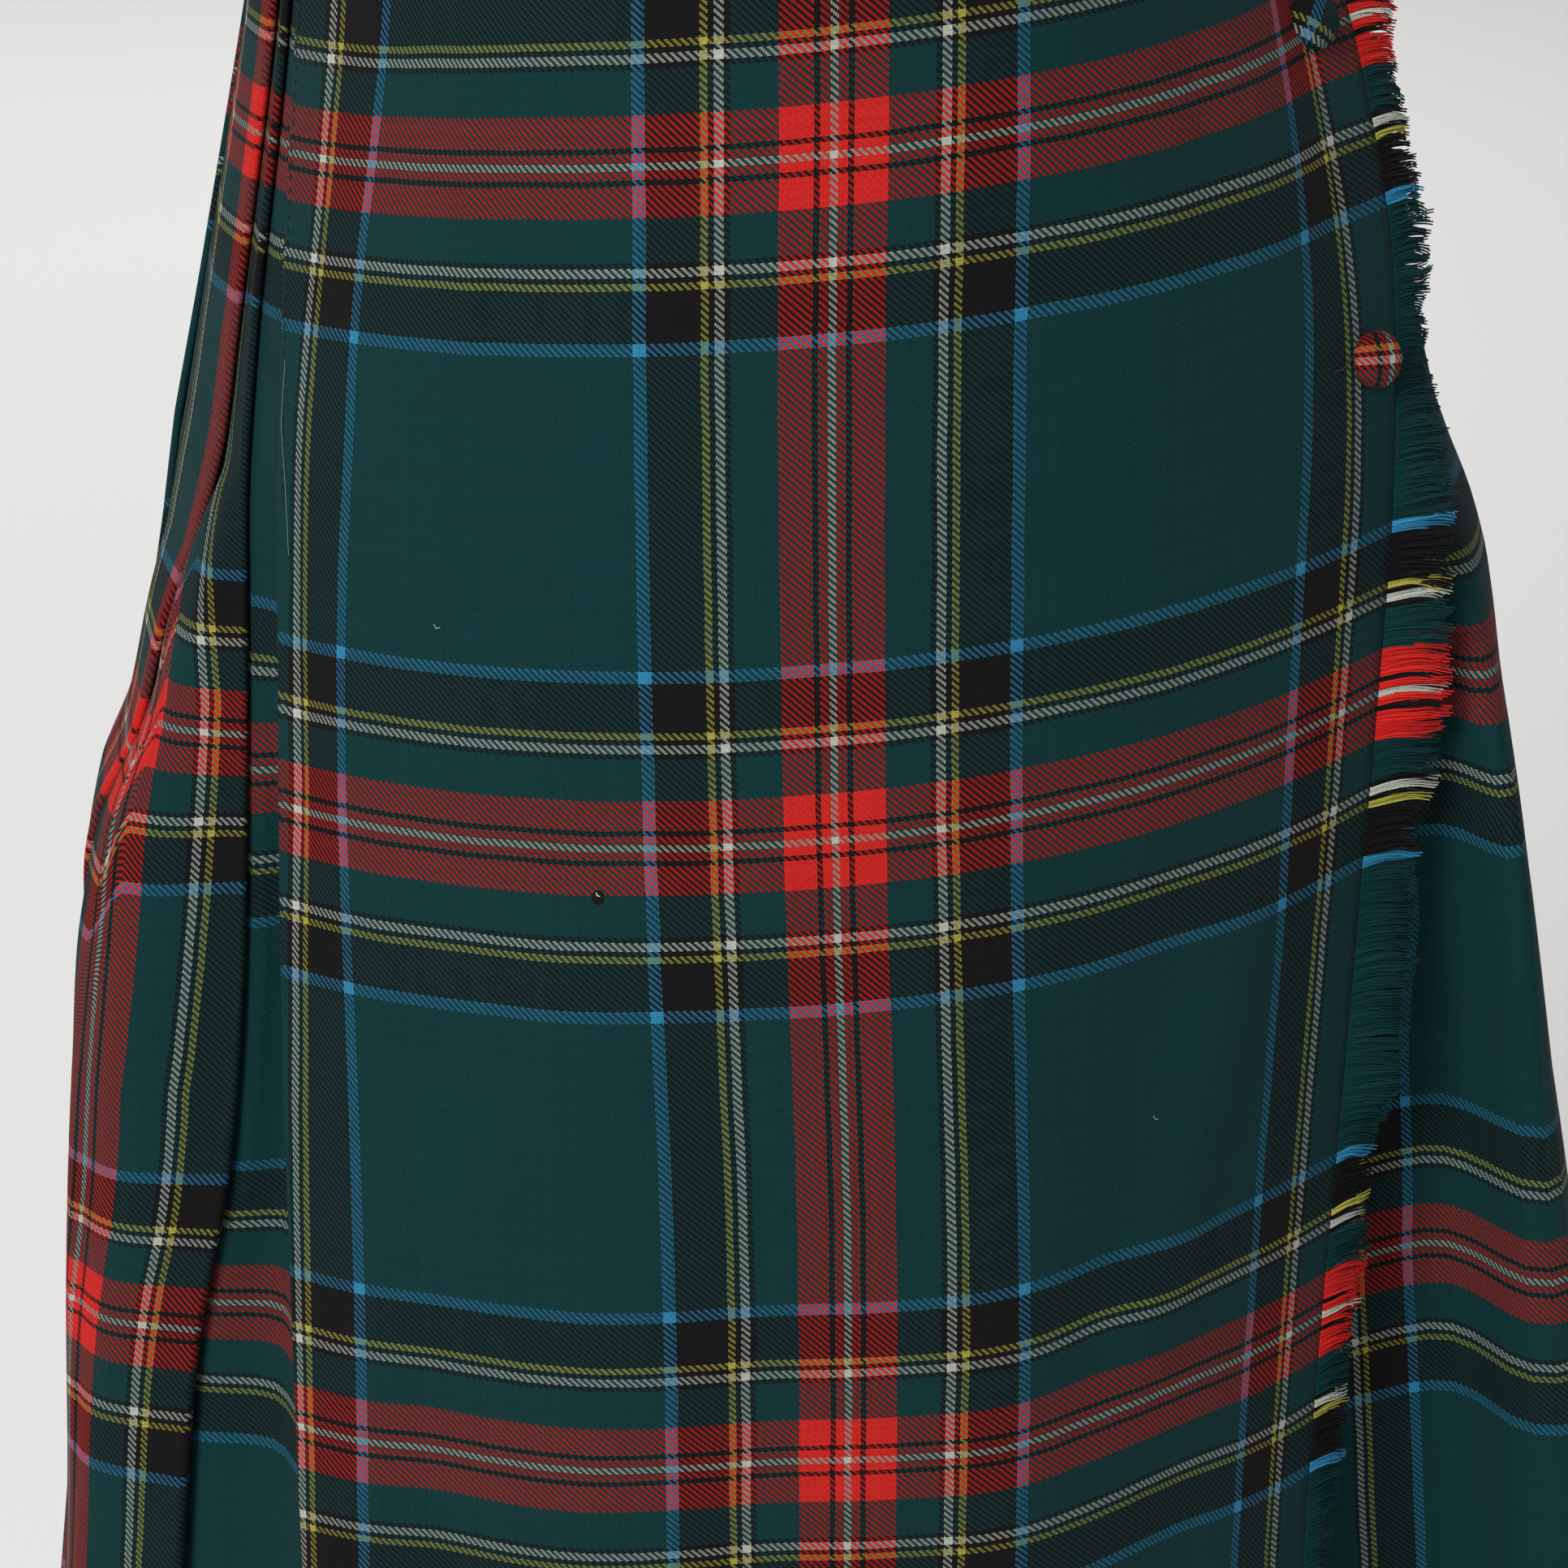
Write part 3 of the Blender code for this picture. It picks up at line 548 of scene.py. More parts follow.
def width_row(ring, first, last):
    """Stations of a pleated width at one depth, with the check's warp thread at each."""
    depth = ring.depth
    layer = LAYER * pleat_size("spread", depth)
    half = layer / 2
    folds = fold_runs(ring)
    starts = np.append(apron_right(depth) + EDGE_CLEAR, folds[:-1])
    inner = folds - np.minimum(pleat_size("turned_in", depth), TURNED_IN_SHARE * (folds - starts))
    pitch = bpy.context.scene.skirt_cloth.warp_pitch
    last_fold_warp = np.interp(depth, *np.array(LAST_FOLD_WARP).T)
    loose = loose_fold(ring, folds[-2])
    stations, marks = [], []

    def add(line):
        stations.extend(line)

    def mark(thread):
        marks.append((len(stations), thread))

    if first > 0:
        ends = [ring.point(inner[first - 1] + half, 0.0), ring.point(starts[first], 0.0)]
        add(even_line(ends, START_STATIONS))
    for k in range(first, last + 1):
        panel = [ring.point(starts[k], 0.0), *panel_points(ring, k, starts[k], inner[k], folds[k])]
        panel.append(ring.point(folds[k] - half, 2 * layer))
        moved = loose if k == PLEATS - 2 else np.zeros(2)
        if k == PLEATS - 2:
            panel[-2] = panel[-2] + 0.55 * loose
        panel[-1] = panel[-1] + moved
        if k == PLEATS - 1:
            panel[0] = panel[0] + loose
        if k == 0:
            panel = [ring.point(run, 0.0) for run in (UNDER_SEAM + SEAM, FRONT_RUNS[-1])] + panel
        count = {0: FIRST_STATIONS, PLEATS - 1: LAST_STATIONS}.get(k, PANEL_STATIONS)
        line = smooth_line(panel, count)
        steps = np.linalg.norm(np.diff(np.vstack([line, panel[-1]]), axis=0), axis=1)
        along = np.concatenate([[0], np.cumsum(steps)])
        if k == 0:
            blue = np.interp(np.interp(depth, *np.array(BLUE_LINE_X).T),
                             line[:BLUE_LINE_STATIONS, 0], along[:BLUE_LINE_STATIONS])
            start_thread = FIRST_PLEAT_OFFSET + BLUE_WARP - blue / pitch
            fold_thread = start_thread + along[-1] / pitch
        else:
            fold_thread = (k - PLEATS + 1) * PLEAT_THREADS
            fold_thread += last_fold_warp if k == PLEATS - 1 else FOLD_WARP
            start_thread = fold_thread - along[-1] / pitch
        if k == PLEATS - 2:
            turned = min(SLANT_WIDTH, 0.9 * along[-1])
            slant = 1 + SLANT_STRETCH * (1 - smooth_step(depth, 0.20, 0.29))
            slant_thread = fold_thread - turned / pitch / slant
            start_thread = slant_thread - (along[-1] - turned) / pitch
            slant_station = np.interp(along[-1] - turned, along, np.arange(len(along)))
            slant_station += len(stations)
        mark(start_thread)
        if k == PLEATS - 2:
            marks.append((slant_station, slant_thread))
        add(line)
        mark(fold_thread)
        ahead = ring.point(folds[k] + 0.002, 0.0) - ring.point(folds[k], 0.0)
        outer = [ring.point(folds[k] - half, lift * layer) + moved for lift in (2, 1)]
        add(turn_line(*outer, ahead))
        mark(fold_thread + pi * half / pitch)
        shares = np.linspace(0, 1, 4)
        under = [ring.point(run, layer) + (1 - share) * moved
                 for run, share in zip(np.linspace(folds[k] - half, inner[k] + half, 4), shares)]
        add(even_line(under, LAYER_STATIONS))
        if k == last and last < PLEATS - 1:
            stations.append(ring.point(inner[k] + half, layer))
            break
        back = ring.point(inner[k], 0.0) - ring.point(inner[k] + 0.002, 0.0)
        add(turn_line(under[-1], ring.point(inner[k] + half, 0.0), back))
        within = [ring.point(run, 0.0) + share * moved
                  for run, share in zip(np.linspace(inner[k] + half, folds[k], 4), shares)]
        add(even_line(within, LAYER_STATIONS))
    if last == PLEATS - 1:
        left = apron_left(depth)
        underlay = (folds[last], (folds[last] + ring.length + left) / 2, left,
                    UNDER_FREE_EDGE, *FRONT_RUNS[:2])
        dip = UNDERLAY_DIP * smooth_step(depth, 0.21, 0.32)
        stand = 0.8 * LAYER * (1 - smooth_step(depth, 0.15, 0.22))
        heights = (0.0, stand - dip, 0.0, 0.0, 0.0, 0.0)
        line = smooth_line([ring.point(run, height) for run, height in zip(underlay, heights)],
                           UNDERLAY_STATIONS)
        middle = (ring.length + left - folds[last]) / 2
        mark(UNDERLAY_MIDDLE - middle / pitch)
        add(line)
        span = ring.length + FRONT_RUNS[1] - folds[last]
        mark(UNDERLAY_MIDDLE + (span - middle) / pitch)
        stations.append(ring.point(FRONT_RUNS[1], 0.0))
    else:
        mark(marks[-1][1] + END_THREADS)
    stations = side_in(np.array(stations), depth, first, last)
    places, threads = np.array(marks).T
    if first > 0:
        places = np.concatenate([[0], places])
        threads = np.concatenate([[threads[0] - END_THREADS], threads])
    return stations, np.interp(np.arange(len(stations)), places, threads)


def pleat_of_station(first, last):
    shares = np.arange(first, last + 1) / (PLEATS - 1)
    return RIGHT_ROW_RUN + shares * (LEFT_ROW_RUN - RIGHT_ROW_RUN)


def apron_point(ring, run, height):
    """Place on the front apron, whose wrap edge stands off the hip."""
    depth = ring.depth
    share = np.clip((run - apron_right(depth)) / EDGE_STAND_WIDTH + 1, 0, 1) ** 2.2
    stand = np.array([column(EDGE_STAND, EDGE_STAND_COLUMNS, axis, depth) for axis in "xy"])
    return ring.point(run, height) + share * stand


def apron_warp(depth, run):
    """Warp thread of the apron at one run, from the lines placed near its edges."""
    pitch = bpy.context.scene.skirt_cloth.warp_pitch
    fold, *lines = [column(LINE_ROWS, LINE_COLUMNS, name, depth) for name in LINE_COLUMNS[1:]]
    runs = (apron_left(depth), *lines[:2], -0.070, 0.080, *lines[2:], apron_right(depth))
    threads = (fold, -WHITE_WARP, -BLUE_SIDE_WARP, -0.070 / pitch, 0.080 / pitch,
               BLUE_SIDE_WARP, WHITE_WARP, EDGE_WARP)
    return np.interp(run, runs, threads)


def apron_row(ring, columns):
    """Stations of the front apron at one depth, with the warp thread at each."""
    depth = ring.depth
    left, right = apron_left(depth), apron_right(depth)
    pitch = bpy.context.scene.skirt_cloth.warp_pitch
    stand = FOLD_STAND * (pleat_size("spread", depth) - 1)
    half = LAYER / 2
    lower = (APRON_LEVEL - 1 + stand) * LAYER
    stations = list(even_line([ring.point(run, lower) for run in (FRONT_RUNS[0], left + half)],
                              START_STATIONS))
    fold = apron_warp(depth, left)
    turned = [fold - (FRONT_RUNS[0] - left) / pitch, fold]
    threads = list(np.linspace(*turned, START_STATIONS + 1)[:-1])
    ahead = ring.point(left - 0.002, 0.0) - ring.point(left, 0.0)
    turn = turn_line(ring.point(left + half, lower), ring.point(left + half, lower + LAYER), ahead)
    stations.extend(turn)
    threads.extend(np.linspace(fold, apron_warp(depth, left + half), TURN_STEPS + 1)[:-1])
    for run in np.linspace(left + half, right, columns):
        raised = APRON_LEVEL + stand * (1 - smooth_step(run, FRONT_RUNS[0], FRONT_RUNS[1]))
        stations.append(apron_point(ring, run, raised * LAYER + soft_folds(run, depth)))
        threads.append(apron_warp(depth, run))
    return np.array(stations), np.array(threads)


def soft_folds(run, depth):
    """Height of the apron's soft folds at a place."""
    height = 0.0
    for run_1, depth_1, run_2, depth_2, width, size, fade in APRON_FOLDS:
        share = (depth - depth_1) / (depth_2 - depth_1)
        middle = run_1 + share * (run_2 - run_1)
        ends = smooth_step(depth, depth_1 - fade / 2, depth_1 + fade / 2)
        if depth_2 < SKIRT_LENGTH - 0.02:
            ends *= 1 - smooth_step(depth, depth_2 - fade / 2, depth_2 + fade / 2)
        height += size * ends * np.exp(-((run - middle) / width) ** 2)
    return height


def cloth_piece(name, rows, depths, warp, weft, thickness):
    """Thin cloth through rows of stations, thickened, with the threads as its UV map."""
    settings = bpy.context.scene.skirt_cloth
    grid = np.array(rows)
    down, across = grid.shape[:2]
    verts = [(x, y, -depth) for row, depth in zip(grid, depths) for x, y in row]
    faces = []
    for i in range(down - 1):
        for j in range(across - 1):
            a = i * across + j
            faces.append((a, a + across, a + across + 1, a + 1))
    mesh = bpy.data.meshes.new(name)
    mesh.from_pydata(verts, [], faces)
    layer = mesh.uv_layers.new(name="cloth")
    u = np.array(warp).ravel() * settings.warp_pitch
    v = np.array(weft).ravel() * settings.weft_pitch
    corners = np.zeros(len(mesh.loops), dtype=np.int32)
    mesh.loops.foreach_get("vertex_index", corners)
    layer.data.foreach_set("uv", np.stack([u[corners], v[corners]], axis=1).ravel())
    mesh.shade_smooth()
    thing = linked(name, mesh)
    wall = thing.modifiers.new("wall", "SOLIDIFY")
    wall.thickness = thickness
    wall.offset = 0.0
    made_plain(thing)
    return thing


def linked(name, data):
    """A new object of that data, in the scene."""
    thing = bpy.data.objects.new(name, data)
    bpy.context.scene.collection.objects.link(thing)
    return thing


def made_plain(thing):
    """Turn an object with modifiers into one plain mesh."""
    graph = bpy.context.evaluated_depsgraph_get()
    graph.update()
    mesh = bpy.data.meshes.new_from_object(thing.evaluated_get(graph))
    thing.modifiers.clear()
    old = thing.data
    thing.data = mesh
    mesh.name = thing.name
    bpy.data.meshes.remove(old)
    return thing


def place_piece(thing, material, slot, *nodes):
    """Give a piece its material and body, and hide the nodes that it stands for; the slot argument
    is not used.
    """
    thing.data.materials.clear()
    thing.data.materials.append(material)
    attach(thing, "root")
    if nodes:
        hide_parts(*nodes)
    return thing


class Tree:
    """Short hand for building a node tree."""

    def __init__(self, tree):
        self.tree = tree

    def add(self, kind, values=(), **settings):
        node = self.tree.nodes.new(kind)
        for name, value in settings.items():
            setattr(node, name, value)
        for socket, value in dict(values).items():
            self.put(node.inputs[socket], value)
        return node

    def put(self, socket, value):
        if isinstance(value, bpy.types.NodeSocket):
            self.tree.links.new(value, socket)
        else:
            socket.default_value = value

    def maths(self, operation, *values, clamp=False):
        node = self.add("ShaderNodeMath", operation=operation, use_clamp=clamp)
        for i, value in enumerate(values):
            self.put(node.inputs[i], value)
        return node.outputs[0]

    def mix(self, share, first, second, kind="MIX"):
        node = self.add("ShaderNodeMix", data_type="RGBA", blend_type=kind)
        self.put(node.inputs[0], share)
        self.put(node.inputs[6], first)
        self.put(node.inputs[7], second)
        return node.outputs[2]


    def triple(self, x, y, z):
        return self.add("ShaderNodeCombineXYZ", {0: x, 1: y, 2: z}).outputs[0]

    def noise(self, place, scale, detail):
        node = self.add("ShaderNodeTexNoise", {"Vector": place, "Scale": scale, "Detail": detail})
        return node.outputs[0]

    def shaded(self, colour, shade):
        grey = self.add("ShaderNodeCombineColor", {0: shade, 1: shade, 2: shade}).outputs[0]
        return self.mix(1.0, colour, grey, "MULTIPLY")

    def bump(self, shader, strength, distance, height):
        values = {"Strength": strength, "Distance": distance, "Height": height}
        node = self.add("ShaderNodeBump", values)
        self.put(shader.inputs["Normal"], node.outputs[0])


def yarn_bands(tree, thread, settings):
    """Colour of the yarn at a thread number, mirrored at both ends of half a repeat."""
    mirrored = tree.maths("PINGPONG", tree.maths("ADD", thread, 0.5), float(HALF_REPEAT))
    share = tree.maths("DIVIDE", mirrored, float(HALF_REPEAT))
    bands = tree.add("ShaderNodeValToRGB")
    ramp = bands.color_ramp
    ramp.interpolation = "CONSTANT"
    start = 0
    for number, (end, yarn) in enumerate(CHECK_BANDS):
        if number < 2:
            stop = ramp.elements[number]
            stop.position = start / HALF_REPEAT
        else:
            stop = ramp.elements.new(start / HALF_REPEAT)
        stop.color = (*getattr(settings, yarn), 1.0)
        start = end
    tree.put(bands.inputs[0], share)
    return bands.outputs[0]


def wool_shader(material):
    """Matt wool with a soft nap; returns the tree and its shader node."""
    material.use_nodes = True
    tree = Tree(material.node_tree)
    shader = material.node_tree.nodes["Principled BSDF"]
    shader.inputs["Roughness"].default_value = 0.82
    shader.inputs["Specular IOR Level"].default_value = 0.10
    shader.inputs["Sheen Weight"].default_value = 0.015
    shader.inputs["Sheen Roughness"].default_value = 0.45
    shader.inputs["Sheen Tint"].default_value = (0.80, 0.86, 0.86, 1.0)
    return tree, shader


def thread_numbers(tree, settings):
    """Warp and weft thread numbers, as sockets, from the piece's UV map."""
    uv = tree.add("ShaderNodeUVMap", uv_map="cloth").outputs[0]
    slow = tree.add("ShaderNodeTexNoise", {"Vector": uv, "Scale": 60.0, "Detail": 2.0})
    apart = tree.add("ShaderNodeSeparateXYZ", {0: uv})
    wander = tree.add("ShaderNodeSeparateColor", {0: slow.outputs["Color"]})
    numbers = []
    for axis, pitch in ((0, settings.warp_pitch), (1, settings.weft_pitch)):
        number = tree.maths("DIVIDE", apart.outputs[axis], pitch)
        shift = tree.maths("MULTIPLY", tree.maths("SUBTRACT", wander.outputs[axis], 0.5), 1.6)
        numbers.append(tree.maths("ADD", number, shift))
    return uv, numbers


def checked_twill(settings, name, nip=False):
    """Twill cloth: coloured warp and weft threads, two over and two under, with painted shade
    towards each thread's edges and on a bright thread where it crosses a darker one.
    """
    material = bpy.data.materials.new(name)
    tree, shader = wool_shader(material)
    uv, (warp, weft) = thread_numbers(tree, settings)
    colours, hills, tones = [], [], []
    for number in (warp, weft):
        whole = tree.maths("FLOOR", number)
        colour = yarn_bands(tree, whole, settings)
        part = tree.maths("FRACT", number)
        off = tree.maths("ABSOLUTE", tree.maths("SUBTRACT", part, 0.5))
        slope = tree.maths("POWER", tree.maths("MULTIPLY", off, 2.0), 2.5)
        hill = tree.maths("SUBTRACT", 1.0, slope)
        tone = tree.add("ShaderNodeTexWhiteNoise", {"W": whole}, noise_dimensions="1D").outputs[0]
        tones.append(tree.maths("MULTIPLY_ADD", tone, 0.22, 0.89))
        colours.append(colour)
        hills.append(hill)
    step = tree.maths("SUBTRACT", tree.maths("FLOOR", warp), tree.maths("FLOOR", weft))
    over = tree.maths("LESS_THAN", tree.maths("FLOORED_MODULO", step, 4.0), 2.0)
    colour = tree.mix(over, colours[1], colours[0])
    below = tree.mix(over, colours[0], colours[1])
    # Painted shade: a thread brighter than the yarn it crosses is darkened by up to half, as
    # though shaded where it sinks between darker threads.
    lights = [tree.add("ShaderNodeRGBToBW", {0: value}).outputs[0] for value in (colour, below)]
    brighter = tree.maths("MULTIPLY", tree.maths("SUBTRACT", *lights), 20.0, clamp=True)
    painted_sunk_shade = tree.maths("MULTIPLY_ADD", brighter, -0.50, 1.0)
    hidden = tree.maths("SUBTRACT", 1.0, over)
    hill, tone = (tree.maths("ADD", tree.maths("MULTIPLY", over, pair[0]),
                             tree.maths("MULTIPLY", hidden, pair[1])) for pair in (hills, tones))
    fuzz = tree.noise(uv, 5200.0, 2.0)
    cloud = tree.noise(uv, 24.0, 3.0)
    # Painted shade: each thread is darkened towards its edges, where it dips under its neighbours;
    # the fine fuzz and the slow cloud after it are random tone.
    shade = tree.maths("MULTIPLY_ADD", hill, 0.42, 0.60)
    shade = tree.maths("MULTIPLY", tree.maths("MULTIPLY", shade, tone), painted_sunk_shade)
    shade = tree.maths("MULTIPLY", shade, tree.maths("MULTIPLY_ADD", fuzz, 0.5, 0.75))
    shade = tree.maths("MULTIPLY", shade, tree.maths("MULTIPLY_ADD", cloud, 0.24, 0.88))
    colour = tree.shaded(colour, shade)
    if nip:
        across = tree.maths("DIVIDE", tree.maths("SUBTRACT", warp, NIP_WARP), NIP_ACROSS)
        down = tree.maths("DIVIDE", tree.maths("SUBTRACT", weft, NIP_WEFT), NIP_DOWN)
        away = tree.maths("SQRT", tree.maths("ADD", tree.maths("MULTIPLY", across, across),
                                             tree.maths("MULTIPLY", down, down)))
        # The nip's real hole, with a ragged edge, is coloured near black: painted shade inside the
        # hole.
        ragged = tree.maths("MULTIPLY_ADD", fuzz, 0.7, 0.65)
        nip_hole_shade = tree.maths("LESS_THAN", away, ragged)
        colour = tree.mix(nip_hole_shade, colour, (0.004, 0.004, 0.0045, 1.0))
    tree.put(shader.inputs["Base Color"], colour)
    nap = tree.maths("ADD", hill, tree.maths("MULTIPLY", fuzz, 0.5))
    tree.bump(shader, 0.55, 0.00018, nap)
    return material


def yarn_material(settings):
    """Loose weft yarns in the colours of their rows."""
    material = bpy.data.materials.new("frayed_yarn")
    tree, shader = wool_shader(material)
    uv = tree.add("ShaderNodeUVMap", uv_map="cloth").outputs[0]
    apart = tree.add("ShaderNodeSeparateXYZ", {0: uv})
    whole = tree.maths("FLOOR", tree.maths("DIVIDE", apart.outputs[1], settings.weft_pitch))
    colour = yarn_bands(tree, whole, settings)
    tone = tree.add("ShaderNodeTexWhiteNoise", {"W": whole}, noise_dimensions="1D").outputs[0]
    fluff = tree.noise(uv, 1800.0, 2.0)
    shade = tree.maths("MULTIPLY", tree.maths("MULTIPLY_ADD", tone, 0.6, 0.95),
                       tree.maths("MULTIPLY_ADD", fluff, 0.7, 0.62))
    tree.put(shader.inputs["Base Color"], tree.shaded(colour, shade))
    tree.bump(shader, 0.5, 0.0001, fluff)
    return material


def thread_material(name, colour):
    """Twisted sewing thread or a single loose fibre."""
    material = bpy.data.materials.new(name)
    tree, shader = wool_shader(material)
    place = tree.add("ShaderNodeTexCoord").outputs["Object"]
    ply = tree.noise(place, 4000.0, 1.0)
    light = tuple(min(1.0, c * 1.6 + 0.004) for c in colour)
    tree.put(shader.inputs["Base Color"], tree.mix(ply, (*colour, 1.0), (*light, 1.0)))
    tree.bump(shader, 0.4, 0.00005, ply)
    return material


def shared_material(name, make):
    """The named material, made once."""
    return bpy.data.materials.get(name) or make()


def cloth_material(nip=False):
    settings = bpy.context.scene.skirt_cloth
    name = "nipped_twill" if nip else "checked_twill"
    return shared_material(name, lambda: checked_twill(settings, name, nip))


def hung_cloth(node, rows, depths, warp, weft, nip=False):
    """Cloth that hangs from the waistband, in place of its node."""
    thickness = bpy.context.scene.skirt_cloth.thickness
    cloth = cloth_piece(node + "_cloth", rows, depths, warp, weft, thickness)
    place_piece(cloth, cloth_material(nip), "check_cloth", node)


class SKIRT_OT_front_apron(bpy.types.Operator):
    """Make the flat front apron with its soft folds"""

    bl_idname = "skirt.front_apron"
    bl_label = "Front Apron"

    def execute(self, context):
        settings = context.scene.skirt_cloth
        depths = piece_rows(settings)
        columns = int(round(APRON_SPAN / settings.run_step))
        rows, warp = zip(*(apron_row(Ring(depth), columns) for depth in depths))
        weft = [[weft_at(depth, thread * settings.warp_pitch) for thread in row]
                for depth, row in zip(depths, warp)]
        hung_cloth("front_apron", rows, depths, warp, weft, nip=True)
        return {"FINISHED"}


class SKIRT_OT_under_apron(bpy.types.Operator):
    """Make the lower front panel"""

    bl_idname = "skirt.under_apron"
    bl_label = "Under Apron"

    def execute(self, context):
        settings = context.scene.skirt_cloth
        depths = piece_rows(settings)
        rows, warp, weft = [], [], []
        for depth in depths:
            ring = Ring(depth)
            runs = np.linspace(UNDER_FREE_EDGE, UNDER_SEAM, UNDER_APRON_STATIONS)
            lifts = smooth_step(runs, FRONT_RUNS[2], FRONT_RUNS[3]) - 1
            rows.append([ring.point(run, LAYER * lift) for run, lift in zip(runs, lifts)])
            warp.append(runs / settings.warp_pitch + UNDER_APRON_OFFSET)
            weft.append([weft_at(depth, run) for run in runs])
        hung_cloth("under_apron", rows, depths, warp, weft)
        return {"FINISHED"}


def raise_rows(depths, weft):
    """Raise the check's rows on the last panel, and set those of the underlay behind it."""
    level = np.array([weft_at(depth, LEFT_ROW_RUN) for depth in depths])
    underlay = np.interp(depths, *np.array(UNDERLAY_ROWS).T)
    underlay = (level + smooth_step(depths, 0.19, 0.25) * (underlay - level))[:, None]
    behind = UNDERLAY_STATIONS + 1
    folded = behind + 2 * (LAYER_STATIONS + TURN_STEPS)
    within = behind + LAYER_STATIONS
    rise = np.interp(depths, *np.array(PANEL_RISE).T)[:, None]
    shares = smooth_step(np.linspace(0, 1, LAST_STATIONS), 0.34, 0.53)
    weft[:, -folded - LAST_STATIONS:-folded] += rise * shares
    weft[:, -folded:-behind] += rise
    weft[:, -behind:] = underlay
    weft[:, -within:-behind] += ((underlay - weft[:, -within - 1:-within])
                                 * np.linspace(0.14, 0.86, LAYER_STATIONS))


class SKIRT_OT_pleats(bpy.types.Operator):
    """Make the four knife-pleated widths round the sides and the back"""

    bl_idname = "skirt.pleats"
    bl_label = "Pleated Widths"

    def execute(self, context):
        settings = context.scene.skirt_cloth
        depths = piece_rows(settings)
        rings = [Ring(depth) for depth in depths]
        nodes = ("pleats_right", "pleats_back_right", "pleats_back_left", "pleats_left")
        for number, node in enumerate(nodes):
            first = number * PLEATS_PER_WIDTH
            last = first + PLEATS_PER_WIDTH - 1
            rows, warp = zip(*(width_row(ring, first, last) for ring in rings))
            runs = pleat_of_station(first, last)
            shares = np.linspace(0, 1, len(rows[0]))
            across = np.interp(shares, np.linspace(0, 1, len(runs)), runs)
            across = np.clip(across, LEFT_ROW_RUN, RIGHT_ROW_RUN)
            if number == 0:
                across[:60] = RIGHT_ROW_RUN
            if number == len(nodes) - 1:
                across[-100:] = LEFT_ROW_RUN
            weft = np.array([[weft_at(depth, run) for run in across] for depth in depths])
            if number == len(nodes) - 1:
                raise_rows(depths, weft)
            hung_cloth(node, rows, depths, warp, weft)
        return {"FINISHED"}


class SKIRT_OT_waistband(bpy.types.Operator):
    """Make the waistband, whose end lies over its start at the wrap"""

    bl_idname = "skirt.waistband"
    bl_label = "Waistband"

    def execute(self, context):
        settings = context.scene.skirt_cloth
        depths = np.linspace(0.0, BAND_HEIGHT, BAND_ROWS)
        rows, warp, weft = [], [], []
        for depth in depths:
            ring = Ring(depth)
            right = apron_right(BAND_HEIGHT)
            left = ring.length + UNDER_FREE_EDGE
            front = (*FRONT_RUNS, (FRONT_RUNS[-1] + right) / 2)
            path = [ring.point(run, BAND_INNER) for run in (UNDER_FREE_EDGE, *front)]
            for share in np.linspace(0, 1, BAND_POINTS):
                height = BAND_INNER + share * (BAND_OUTER - BAND_INNER)
                path.append(ring.point(right + share * (left - right), height))
            path += [ring.point(ring.length + run, BAND_OUTER) for run in (*front, right)]
            row = smooth_line(path, BAND_STATIONS)
            rows.append(row)
            length = np.sum(np.linalg.norm(np.diff(row, axis=0), axis=1))
            warp.append(np.linspace(-length, 0, len(row)) / settings.warp_pitch + BAND_WARP)
            weft.append(np.full(len(row), BAND_WEFT + depth / settings.weft_pitch))
        band = cloth_piece("waistband_cloth", rows, depths, warp, weft, BAND_WALL)
        place_piece(band, cloth_material(), "check_cloth", "waistband")
        return {"FINISHED"}


def edge_place(depth, beyond, height):
    """Place beyond the wrap edge."""
    ring = Ring(depth)
    return Vector((*apron_point(ring, apron_right(depth) + beyond, height), -depth))


def node_group(name, start, lengths, result):
    """Empty geometry node tree with its inputs and its output, and the sockets of its input."""
    tree = bpy.data.node_groups.new(name, "GeometryNodeTree")
    kinds = [(start, "Geometry"), *((length, "Float") for length in lengths), ("Seed", "Int"),
             ("Material", "Material")]
    for label, kind in kinds:
        tree.interface.new_socket(name=label, in_out="INPUT", socket_type="NodeSocket" + kind)
    tree.interface.new_socket(name=result, in_out="OUTPUT", socket_type="NodeSocketGeometry")
    t = Tree(tree)
    return t, t.add("NodeGroupInput").outputs


def end_group(t, given, shape):
    """Close a node tree: real geometry, then its material."""
    whole = t.add("GeometryNodeRealizeInstances", {"Geometry": shape}).outputs[0]
    coloured = t.add("GeometryNodeSetMaterial", {"Geometry": whole, "Material": given["Material"]})
    t.add("NodeGroupOutput", {0: coloured.outputs[0]})
    return t.tree


